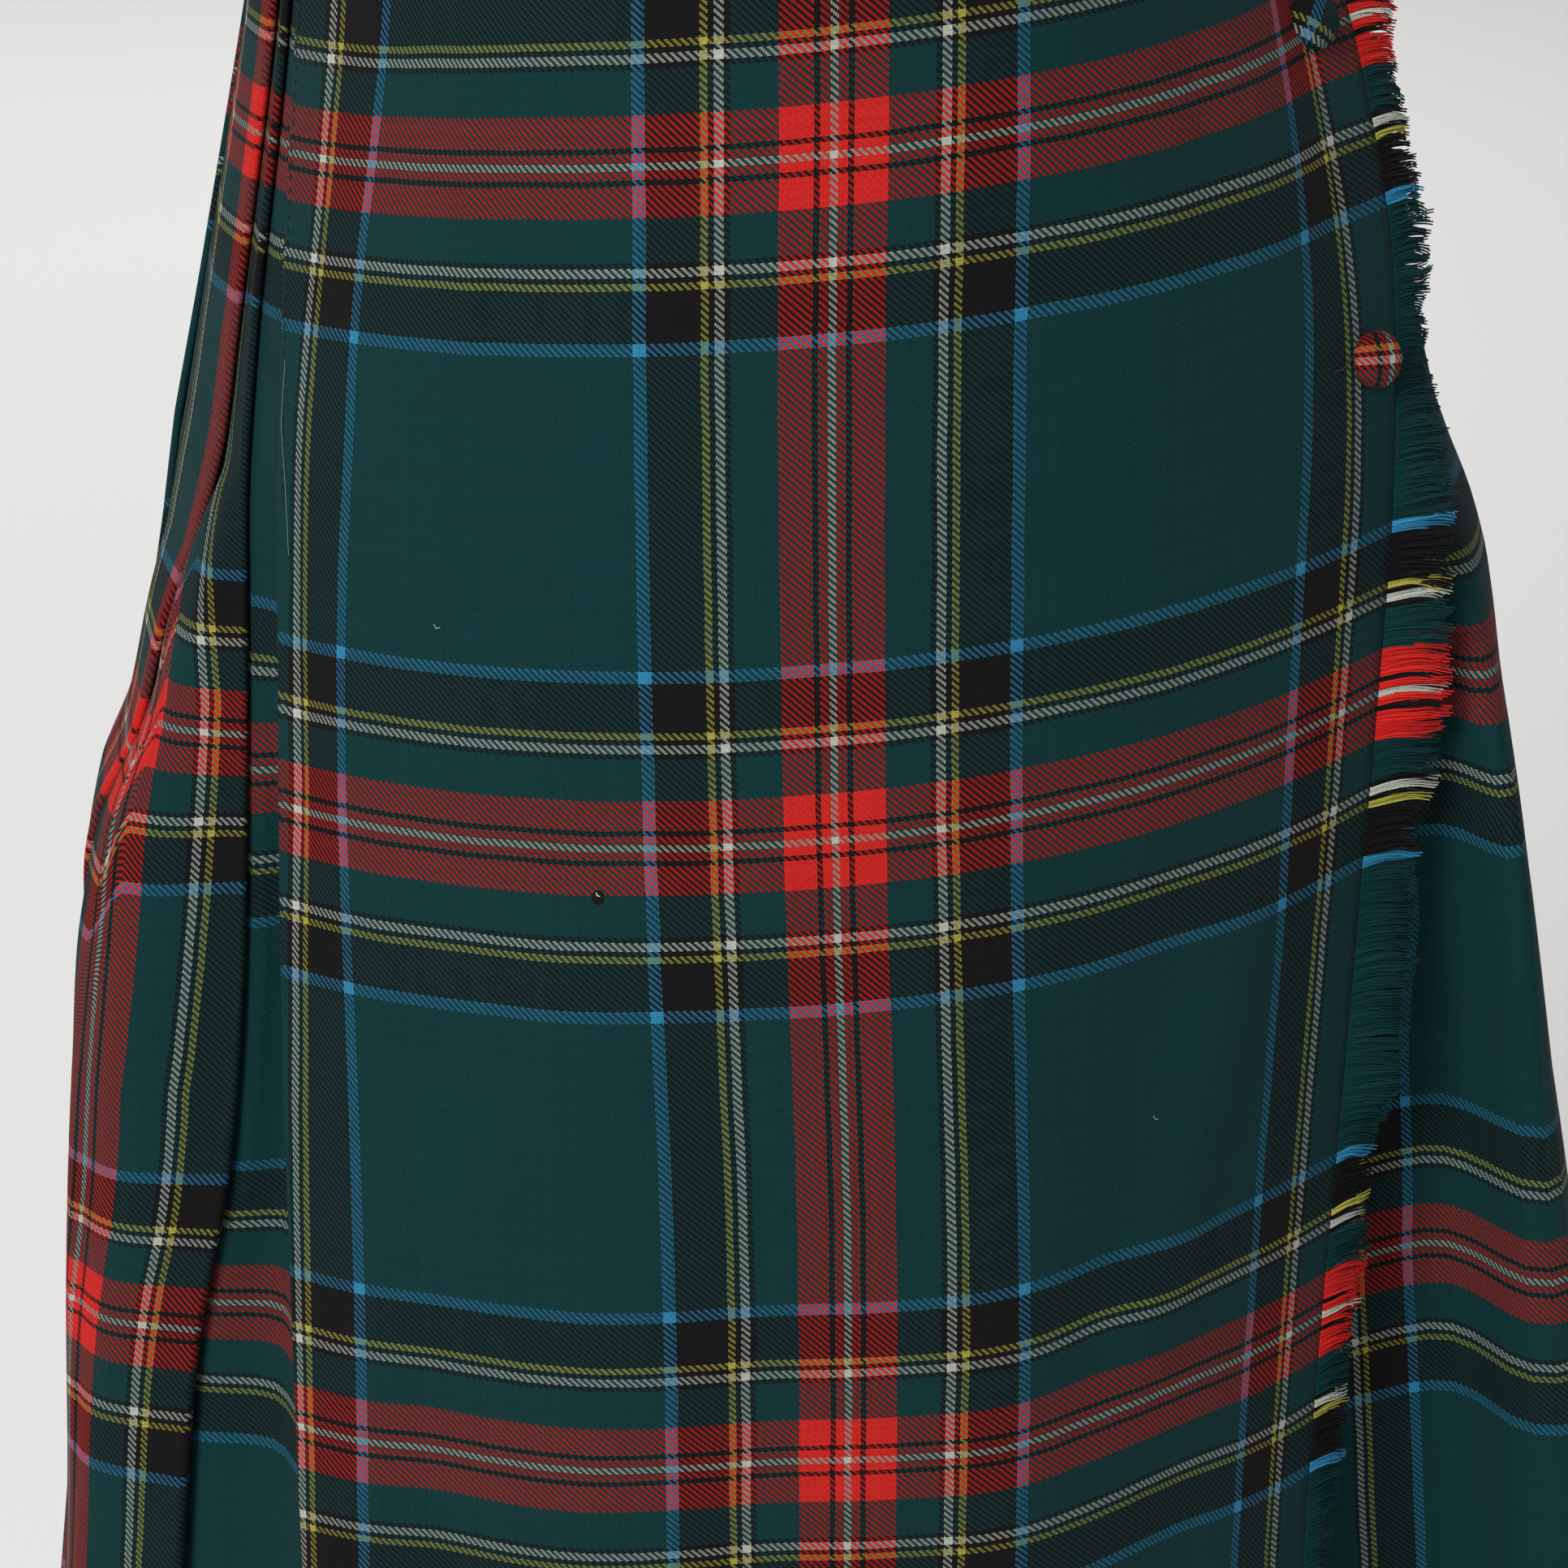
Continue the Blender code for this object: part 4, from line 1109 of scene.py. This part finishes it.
def fringe_tree():
    """Geometry nodes: a yarn from each point of the woven edge, bent and tangled."""
    lengths = ("Length", "Yarn", "Droop", "Lift", "Tangle")
    t, given = node_group("frayed_yarns", "Edge", lengths, "Yarns")

    def named(name, kind):
        return t.add("GeometryNodeInputNamedAttribute", {"Name": name}, data_type=kind).outputs[0]

    def chance(low, high, step):
        node = t.add("FunctionNodeRandomValue", data_type="FLOAT")
        node.inputs[2].default_value, node.inputs[3].default_value = low, high
        t.put(node.inputs["ID"], number)
        t.put(node.inputs["Seed"], t.maths("ADD", given["Seed"], float(step)))
        return node.outputs[1]

    def times(vector, factor):
        node = t.add("ShaderNodeVectorMath", operation="SCALE")
        t.put(node.inputs[0], vector)
        t.put(node.inputs["Scale"], factor)
        return node.outputs[0]

    def plus(*vectors):
        total = vectors[0]
        for vector in vectors[1:]:
            node = t.add("ShaderNodeVectorMath", operation="ADD")
            t.put(node.inputs[0], total)
            t.put(node.inputs[1], vector)
            total = node.outputs[0]
        return total

    line = t.add("GeometryNodeCurvePrimitiveLine").outputs[0]
    fine = t.add("GeometryNodeResampleCurve", {"Curve": line, "Count": 8}).outputs[0]
    placed = t.add("GeometryNodeInstanceOnPoints", {"Points": given["Edge"], "Instance": fine})
    loose = t.add("GeometryNodeRealizeInstances", {"Geometry": placed.outputs[0]}).outputs[0]
    number = t.maths("ROUND", named("number", "FLOAT"))
    share = t.add("GeometryNodeSplineParameter").outputs["Factor"]
    squared = t.maths("MULTIPLY", share, share)
    arch = t.maths("MULTIPLY", share, t.maths("SUBTRACT", 1.6, share))
    reach = t.maths("MULTIPLY", given["Length"], chance(0.84, 1.06, 1))
    reach = t.maths("MULTIPLY", reach, named("long", "FLOAT"))
    where = t.triple(t.maths("MULTIPLY", number, 0.045), t.maths("MULTIPLY", share, 0.9),
                     t.maths("MULTIPLY", given["Seed"], 3.7))
    clumps = t.add("ShaderNodeTexNoise", {"Vector": where, "Scale": 1.0, "Detail": 1.0})
    near = t.triple(t.maths("MULTIPLY", number, 0.31), t.maths("MULTIPLY", share, 2.2),
                    t.maths("MULTIPLY_ADD", given["Seed"], 1.3, 40.0))
    wisps = t.add("ShaderNodeTexNoise", {"Vector": near, "Scale": 1.0, "Detail": 2.0})

    def wander(noise, size):
        middle = t.add("ShaderNodeVectorMath", operation="SUBTRACT")
        t.put(middle.inputs[0], noise.outputs["Color"])
        middle.inputs[1].default_value = (0.5, 0.5, 0.5)
        tangle = t.maths("MULTIPLY", t.maths("MULTIPLY", given["Tangle"], size), share)
        return times(middle.outputs[0], tangle)

    place = plus(
        named("anchor", "FLOAT_VECTOR"),
        times(named("outward", "FLOAT_VECTOR"), t.maths("MULTIPLY", reach, share)),
        times(named("over", "FLOAT_VECTOR"),
              t.maths("MULTIPLY", t.maths("MULTIPLY", given["Lift"], arch), chance(0.3, 1.5, 2))),
        times((0.0, 0.0, -1.0),
              t.maths("MULTIPLY", t.maths("MULTIPLY", given["Droop"], squared),
                      chance(0.75, 1.25, 3))),
        wander(clumps, 3.4),
        wander(wisps, 1.6),
    )
    bent = t.add("GeometryNodeSetPosition", {"Geometry": loose, "Position": place}).outputs[0]
    taper = t.maths("MULTIPLY", given["Yarn"], t.maths("MULTIPLY_ADD", share, -0.45, 1.0))
    section = t.add("GeometryNodeCurvePrimitiveCircle", {"Resolution": 3, "Radius": 1.0})
    tubes = t.add("GeometryNodeCurveToMesh", {
        "Curve": bent, "Profile Curve": section.outputs[0], "Scale": taper, "Fill Caps": True})
    return end_group(t, given, tubes.outputs[0])


def set_inputs(modifier, **values):
    """Set a node modifier's inputs, found by name, through their identifiers."""
    for item in modifier.node_group.interface.items_tree:
        if item.item_type == "SOCKET" and item.in_out == "INPUT" and item.name in values:
            modifier[item.identifier] = values.pop(item.name)
    if values:
        raise RuntimeError("no input named " + ", ".join(values))


class SKIRT_OT_fringe(bpy.types.Operator):
    """Fray the weft yarns along the apron's right edge"""

    bl_idname = "skirt.fringe"
    bl_label = "Fringe"

    def execute(self, context):
        cloth, fringe = context.scene.skirt_cloth, context.scene.skirt_fringe
        top, bottom = BAND_HEIGHT + SEAM + 0.001, SKIRT_LENGTH - 0.001
        coarse = np.linspace(top, bottom, 200)
        rings = [Ring(depth) for depth in coarse]
        height = APRON_LEVEL * LAYER
        roots = np.array([apron_point(ring, apron_right(ring.depth), height) for ring in rings])
        sideways = np.array([column(FRINGE_ROWS, FRINGE_COLUMNS, "sideways", d) for d in coarse])
        ahead = np.stack([sideways, np.sqrt(1 - sideways ** 2)], axis=1)
        threads = [weft_at(depth, apron_right(depth)) for depth in coarse]
        whole = np.arange(np.ceil(threads[0]), np.floor(threads[-1]))
        numbers = np.stack([whole, whole + 0.4], axis=1).ravel()
        below = np.tile([0.0, 1.0], len(whole))
        depths = np.interp(numbers, threads, coarse)
        place = [np.interp(depths, coarse, roots[:, i]) for i in (0, 1)]
        along = [np.interp(depths, coarse, ahead[:, i]) for i in (0, 1)]
        over = np.stack([along[1], -along[0], np.zeros(len(depths))], axis=1)
        anchor = np.stack([*place, -depths], axis=1) + 0.0005 * below[:, None] * over
        table = np.array(CHECK_ROWS)
        rise = np.interp(numbers, table[:, 0], table[:, 1]) + 0.14
        outward = np.stack([*along, rise], axis=1)
        length = np.array([column(FRINGE_ROWS, FRINGE_COLUMNS, "long", depth) for depth in depths])
        length = (length - 0.06 * below + 0.05 * np.sin(numbers * 0.043)
                  + 0.04 * np.sin(numbers * 0.017 + 1.0))
        mesh = bpy.data.meshes.new("fringe_edge")
        mesh.from_pydata(anchor.tolist(), [], [])
        facts = {"anchor": anchor, "outward": outward, "over": over, "number": numbers,
                 "long": length}
        for name, values in facts.items():
            kind, field = ("FLOAT_VECTOR", "vector") if values.ndim == 2 else ("FLOAT", "value")
            attribute = mesh.attributes.new(name, kind, "POINT")
            attribute.data.foreach_set(field, np.asarray(values, dtype=np.float32).ravel())
        yarns = linked("apron_fringe_yarns", mesh)
        material = shared_material("frayed_yarn", lambda: yarn_material(cloth))
        nodes = yarns.modifiers.new("frayed yarns", "NODES")
        nodes.node_group = fringe_tree()
        set_inputs(nodes, Length=fringe.length, Yarn=fringe.yarn, Droop=fringe.droop,
                   Lift=fringe.lift, Tangle=fringe.tangle, Seed=fringe.seed, Material=material)
        made_plain(yarns)
        mesh = yarns.data
        if len(mesh.polygons) < 1000:
            raise RuntimeError("the fringe has no yarns")
        own = np.zeros(len(mesh.vertices), dtype=np.float32)
        mesh.attributes["number"].data.foreach_get("value", own)
        points = np.zeros(3 * len(mesh.vertices), dtype=np.float32)
        mesh.vertices.foreach_get("co", points)
        corners = np.zeros(len(mesh.loops), dtype=np.int32)
        mesh.loops.foreach_get("vertex_index", corners)
        uv = np.stack([points.reshape(-1, 3)[:, 0], (own + 0.5) * cloth.weft_pitch], axis=1)
        layer = mesh.uv_layers.new(name="cloth")
        layer.data.foreach_set("uv", uv[corners].astype(np.float32).ravel())
        for name in facts:
            if name in mesh.attributes:
                mesh.attributes.remove(mesh.attributes[name])
        place_piece(yarns, material, "fringe_yarn", "apron_fringe")
        return {"FINISHED"}


class SKIRT_OT_buttons(bpy.types.Operator):
    """Make the three cloth-covered buttons"""

    bl_idname = "skirt.buttons"
    bl_label = "Covered Buttons"

    # node, run in from the wrap edge, depth, height of the face below it, warp and weft
    # thread at its middle, and the turn of its cover
    PLACES = (
        ("button_waist", 0.015, 0.018, BAND_OUTER + BAND_WALL / 2, 60.0, 20.0, 12.0),
        ("button_upper", 0.0175, 0.1095, APRON_LEVEL * LAYER + 0.0005, 101.0, -70.0, 35.0),
        ("button_lower", 0.0100, 0.186, APRON_LEVEL * LAYER + 0.0005, -5.0, -57.0, 3.0),
    )
    SIDES, RINGS = 56, 16
    RIM = 0.35
    FRONT_LEAN = 0.75

    def execute(self, context):
        for place in self.PLACES:
            self.make(context, *place)
        return {"FINISHED"}

    def make(self, context, node, inset, depth, face, warp, weft, turn):
        size, cloth = context.scene.skirt_buttons, context.scene.skirt_cloth
        rim = size.height * self.RIM
        profile = []
        for i in range(self.RINGS + 1):
            angle = pi / 2 * i / self.RINGS
            profile.append((size.radius * sin(angle), rim + (size.height - rim) * cos(angle)))
        profile += [(size.radius * 1.005, rim * 0.72), (size.radius * 0.97, rim * 0.36),
                    (size.radius * 0.90, rim * 0.10), (size.radius * 0.78, 0.0), (0.0, 0.0)]
        steps = np.linalg.norm(np.diff(profile, axis=0), axis=1)
        lengths = np.concatenate([[0], np.cumsum(steps)])
        ends = (-size.radius, size.radius)
        above, below = (edge_place(depth + end, -inset, face) for end in ends)
        behind, ahead = (edge_place(depth, end - inset, face) for end in ends)
        out = (above - below).cross(behind - ahead).normalized()
        out = (out + self.FRONT_LEAN * Vector((0.0, -1.0, 0.25))).normalized()
        right = Vector((0.0, 0.0, 1.0)).cross(out).normalized()
        up = out.cross(right).normalized()
        foot = (above + below) / 2 + out * size.seat
        bm = bmesh.new()
        layer = bm.loops.layers.uv.new("cloth")
        flat = {}

        def vert(ring, side):
            radius, height = profile[ring]
            angle = 2 * pi * side / self.SIDES
            pucker = 1 + 0.012 * sin(angle * 9 + 1.3) * (ring > self.RINGS - 3)
            spot = (foot + right * (radius * pucker * cos(angle))
                    + up * (radius * pucker * sin(angle)))
            made = bm.verts.new(spot + out * height)
            turned = angle + radians(turn)
            flat[made] = (warp * cloth.warp_pitch + lengths[ring] * cos(turned),
                          weft * cloth.weft_pitch - lengths[ring] * sin(turned))
            return made

        top, bottom = vert(0, 0), vert(len(profile) - 1, 0)
        rings = [[vert(i, s) for s in range(self.SIDES)] for i in range(1, len(profile) - 1)]
        for s in range(self.SIDES):
            n = (s + 1) % self.SIDES
            bm.faces.new((top, rings[0][s], rings[0][n]))
            bm.faces.new((bottom, rings[-1][n], rings[-1][s]))
            for inner, outer in zip(rings, rings[1:]):
                bm.faces.new((inner[s], outer[s], outer[n], inner[n]))
        for loop in (corner for made in bm.faces for corner in made.loops):
            loop[layer].uv = flat[loop.vert]
        bmesh.ops.recalc_face_normals(bm, faces=bm.faces)
        mesh = bpy.data.meshes.new(node + "_cover")
        bm.to_mesh(mesh)
        bm.free()
        mesh.shade_smooth()
        place_piece(linked(node + "_cover", mesh), cloth_material(), "button_cover", node)


def stitch_tree():
    """Geometry nodes: short rounded stitches spaced along a seam."""
    lengths = ("Pitch", "Length", "Thread")
    t, given = node_group("run_of_stitches", "Seam", lengths, "Stitches")
    curve = t.add("GeometryNodeMeshToCurve", {"Mesh": given["Seam"]}).outputs[0]
    spaced = t.add("GeometryNodeResampleCurve", {"Curve": curve}, mode="LENGTH")
    t.put(spaced.inputs["Length"], given["Pitch"])
    ball = t.add("GeometryNodeMeshUVSphere", {"Segments": 8, "Rings": 6, "Radius": 1.0}).outputs[0]
    shape = t.triple(given["Thread"], given["Thread"], t.maths("MULTIPLY", given["Length"], 0.5))
    sized = t.add("GeometryNodeTransform", {"Geometry": ball, "Scale": shape}).outputs[0]
    tangent = t.add("GeometryNodeInputTangent").outputs[0]
    facing = t.add("FunctionNodeAlignRotationToVector", {"Vector": tangent}, axis="Z").outputs[0]
    change = t.add("FunctionNodeRandomValue", data_type="FLOAT")
    change.inputs[2].default_value, change.inputs[3].default_value = 0.82, 1.12
    t.put(change.inputs["Seed"], given["Seed"])
    placed = t.add("GeometryNodeInstanceOnPoints", {
        "Points": spaced.outputs[0], "Instance": sized, "Rotation": facing,
        "Scale": change.outputs[1]})
    return end_group(t, given, placed.outputs[0])


def stitch_line(context, name, lines, seed):
    """One object of stitches along one or more lines of places."""
    settings = context.scene.skirt_stitches
    mesh = bpy.data.meshes.new(name)
    verts = [tuple(place) for line in lines for place in line]
    edges, start = [], 0
    for line in lines:
        edges += [(start + i, start + i + 1) for i in range(len(line) - 1)]
        start += len(line)
    mesh.from_pydata(verts, edges, [])
    thing = linked(name, mesh)
    material = shared_material("sewing_thread",
                               lambda: thread_material("sewing_thread", settings.colour))
    nodes = thing.modifiers.new("stitches", "NODES")
    nodes.node_group = bpy.data.node_groups.get("run_of_stitches") or stitch_tree()
    set_inputs(nodes, Pitch=settings.pitch, Length=settings.length, Thread=settings.thread,
               Seed=seed, Material=material)
    made_plain(thing)
    if not thing.data.polygons:
        raise RuntimeError(name + " has no stitches")
    place_piece(thing, material, "check_cloth")
    return thing


class SKIRT_OT_stitching(bpy.types.Operator):
    """Sew the apron's left fold and the waistband's two edges"""

    bl_idname = "skirt.stitching"
    bl_label = "Stitching"

    FOLD_STITCHES = (0.085, 0.216)
    INSIDE_FOLD = 0.0022

    def execute(self, context):
        proud = context.scene.skirt_cloth.thickness / 2 + context.scene.skirt_stitches.thread / 2
        line = []
        for depth in np.linspace(*self.FOLD_STITCHES, 50):
            ring = Ring(depth)
            stand = FOLD_STAND * (pleat_size("spread", depth) - 1)
            height = (APRON_LEVEL + stand) * LAYER + proud
            line.append((*ring.point(apron_left(depth) + self.INSIDE_FOLD, height), -depth))
        stitch_line(context, "fold_stitching", [line], 3)
        lines = []
        for depth in (0.003, BAND_HEIGHT - 0.003):
            ring = Ring(depth)
            right = apron_right(BAND_HEIGHT)
            runs = np.linspace(right, ring.length + right - 0.004, 260)
            lines.append([])
            for run in runs:
                share = np.clip((run - right) / (ring.length + UNDER_FREE_EDGE - right), 0, 1)
                height = BAND_INNER + share * (BAND_OUTER - BAND_INNER)
                height += BAND_WALL / 2 + context.scene.skirt_stitches.thread / 2
                lines[-1].append((*ring.point(run, height), -depth))
        stitch_line(context, "waistband_stitching", lines, 5)
        return {"FINISHED"}


class SKIRT_OT_fibres(bpy.types.Operator):
    """Lay the few loose fibres and a dark thin line by the lower button on the apron"""

    bl_idname = "skirt.fibres"
    bl_label = "Loose Fibres"

    # piece, colour, radius, and places: run from the given edge of the apron, depth, height
    PLACES = (
        ("pale_fibre", "left", (0.20, 0.26, 0.24), 0.00004,
         ((0.0034, 0.184, 0.0010), (0.0026, 0.199, 0.0014), (0.0042, 0.213, 0.0012),
          (0.0050, 0.228, 0.0009))),
        ("pale_lint_left", "middle", (0.30, 0.27, 0.24), 0.00009,
         ((-0.0950, 0.2352, 0.0003), (-0.0940, 0.2362, 0.0007), (-0.0930, 0.2358, 0.0003))),
        ("pale_lint_right", "middle", (0.26, 0.26, 0.24), 0.00008,
         ((0.0800, 0.3590, 0.0003), (0.0808, 0.3604, 0.0007), (0.0820, 0.3606, 0.0003))),
        ("nip_yarn", "middle", (0.42, 0.38, 0.22), 0.00016,
         ((-0.0562, 0.2928, 0.0001), (-0.0556, 0.2938, 0.0006), (-0.0546, 0.2942, 0.0001))),
        # A dark thin tube laid on the apron by the lower button.
        ("dark_line_by_button", "right", (0.012, 0.030, 0.032), 0.00016,
         ((-0.0170, 0.1835, 0.0005), (-0.0195, 0.1842, 0.0013), (-0.0222, 0.1858, 0.0011),
          (-0.0246, 0.1862, 0.0004))),
    )

    def execute(self, context):
        edges = {"left": apron_left, "right": apron_right, "middle": lambda depth: 0.0}
        for name, edge, colour, radius, places in self.PLACES:
            route = []
            for across, depth, height in places:
                run = edges[edge](depth) + across
                level = APRON_LEVEL * LAYER + soft_folds(run, depth) + height
                route.append((*apron_point(Ring(depth), run, level), -depth))
            curve = bpy.data.curves.new(name, "CURVE")
            curve.dimensions = "3D"
            curve.bevel_depth, curve.bevel_resolution = radius, 1
            spline = curve.splines.new("POLY")
            steps = np.linspace(0, len(route) - 1, 16)
            path = [[np.interp(step, range(len(route)), axis) for axis in zip(*route)]
                    for step in steps]
            spline.points.add(len(path) - 1)
            for point, place in zip(spline.points, path):
                point.co = (*place, 1.0)
            thing = linked(name, curve)
            graph = context.evaluated_depsgraph_get()
            mesh = bpy.data.meshes.new_from_object(thing.evaluated_get(graph))
            bpy.data.objects.remove(thing)
            place_piece(linked(name, mesh), thread_material(name + "_wool", colour), "fringe_yarn")
        return {"FINISHED"}


class SKIRT_OT_stage(bpy.types.Operator):
    """Set the floor, the lights, the surroundings and the camera"""

    bl_idname = "skirt.stage"
    bl_label = "Stage"

    CAMERA_PLACE = (0.0, -0.841, 0.028)
    CAMERA_PITCH = 0.4088

    def execute(self, context):
        stage = context.scene.skirt_stage
        self.floor(stage)
        aim = Vector((0.0, -0.10, -0.30))
        self.light("key_light", (-1.25, -1.95, 1.05), aim, 1.3, stage.key_power)
        self.light("fill_light", (1.9, -1.5, 0.7), aim, 2.0, stage.fill_power)
        self.light("floor_light", (-0.9, 4.4, 2.4), Vector((-0.9, 4.4, -1.1)), 6.0,
                   stage.floor_power)
        world = bpy.data.worlds.new("pale_studio")
        world.use_nodes = True
        ground = world.node_tree.nodes["Background"]
        ground.inputs["Color"].default_value = (1.0, 1.0, 1.0, 1.0)
        ground.inputs["Strength"].default_value = stage.sky
        context.scene.world = world
        lens = bpy.data.cameras.new("photo_camera")
        lens.lens = stage.lens
        lens.sensor_width = 36.0
        lens.clip_start, lens.clip_end = 0.01, 100.0
        camera = linked("photo_camera", lens)
        camera.location = self.CAMERA_PLACE
        camera.rotation_euler = (pi / 2 - self.CAMERA_PITCH, 0.0, 0.0)
        context.scene.camera = camera
        context.scene.view_settings.view_transform = "Standard"
        return {"FINISHED"}

    def floor(self, stage):
        mesh = bpy.data.meshes.new("floor")
        reach = 16.0
        corners = [(-reach, -reach), (reach, -reach), (reach, reach), (-reach, reach)]
        mesh.from_pydata([(x, y, -stage.floor_depth) for x, y in corners], [], [(0, 1, 2, 3)])
        floor = linked("floor", mesh)
        material = bpy.data.materials.new("pale_floor")
        material.use_nodes = True
        tree = Tree(material.node_tree)
        shader = material.node_tree.nodes["Principled BSDF"]
        shader.inputs["Roughness"].default_value = 0.9
        shader.inputs["Specular IOR Level"].default_value = 0.1
        place = tree.add("ShaderNodeTexCoord").outputs["Object"]
        cloud = tree.add("ShaderNodeTexNoise", {"Vector": place, "Scale": 0.6}).outputs[0]
        dim = tuple(c * 0.97 for c in stage.floor_colour)
        tree.put(shader.inputs["Base Color"],
                 tree.mix(cloud, (*stage.floor_colour, 1.0), (*dim, 1.0)))
        mesh.materials.append(material)

    def light(self, name, place, aim, size, power):
        lamp = bpy.data.lights.new(name, "AREA")
        lamp.shape = "DISK"
        lamp.size = size
        lamp.energy = power
        thing = linked(name, lamp)
        thing.visible_camera = False
        thing.location = place
        thing.rotation_euler = (aim - Vector(place)).to_track_quat("-Z", "Y").to_euler()


PIECE_OPERATORS = (SKIRT_OT_waistband, SKIRT_OT_under_apron, SKIRT_OT_front_apron, SKIRT_OT_pleats,
                   SKIRT_OT_fringe, SKIRT_OT_buttons, SKIRT_OT_stitching, SKIRT_OT_fibres,
                   SKIRT_OT_stage)


class VIEW3D_PT_skirt(bpy.types.Panel):
    """Sizes, colours and makers of the skirt's pieces"""

    bl_label = "Pleated Wrap Skirt"
    bl_idname = "VIEW3D_PT_skirt"
    bl_space_type = "VIEW_3D"
    bl_region_type = "UI"
    bl_category = "Skirt"

    def draw(self, context):
        layout = self.layout
        for name in SETTINGS:
            box = layout.box()
            group = getattr(context.scene, name)
            for key in group.__annotations__:
                box.prop(group, key)
        for operator in PIECE_OPERATORS:
            layout.operator(operator.bl_idname)


SETTINGS = {
    "skirt_cloth": ClothSettings,
    "skirt_fringe": FringeSettings,
    "skirt_stitches": StitchSettings,
    "skirt_buttons": ButtonSettings,
    "skirt_stage": StageSettings,
}
CLASSES = (*SETTINGS.values(), *PIECE_OPERATORS, VIEW3D_PT_skirt)


def register():
    for cls in CLASSES:
        bpy.utils.register_class(cls)
    for name, group in SETTINGS.items():
        setattr(bpy.types.Scene, name, bpy.props.PointerProperty(type=group))


def unregister():
    for name in SETTINGS:
        delattr(bpy.types.Scene, name)
    for cls in reversed(CLASSES):
        bpy.utils.unregister_class(cls)


def main():
    register()
    for operator in PIECE_OPERATORS:
        group, name = operator.bl_idname.split(".")
        getattr(getattr(bpy.ops, group), name)()


if __name__ == "__main__":
    main()
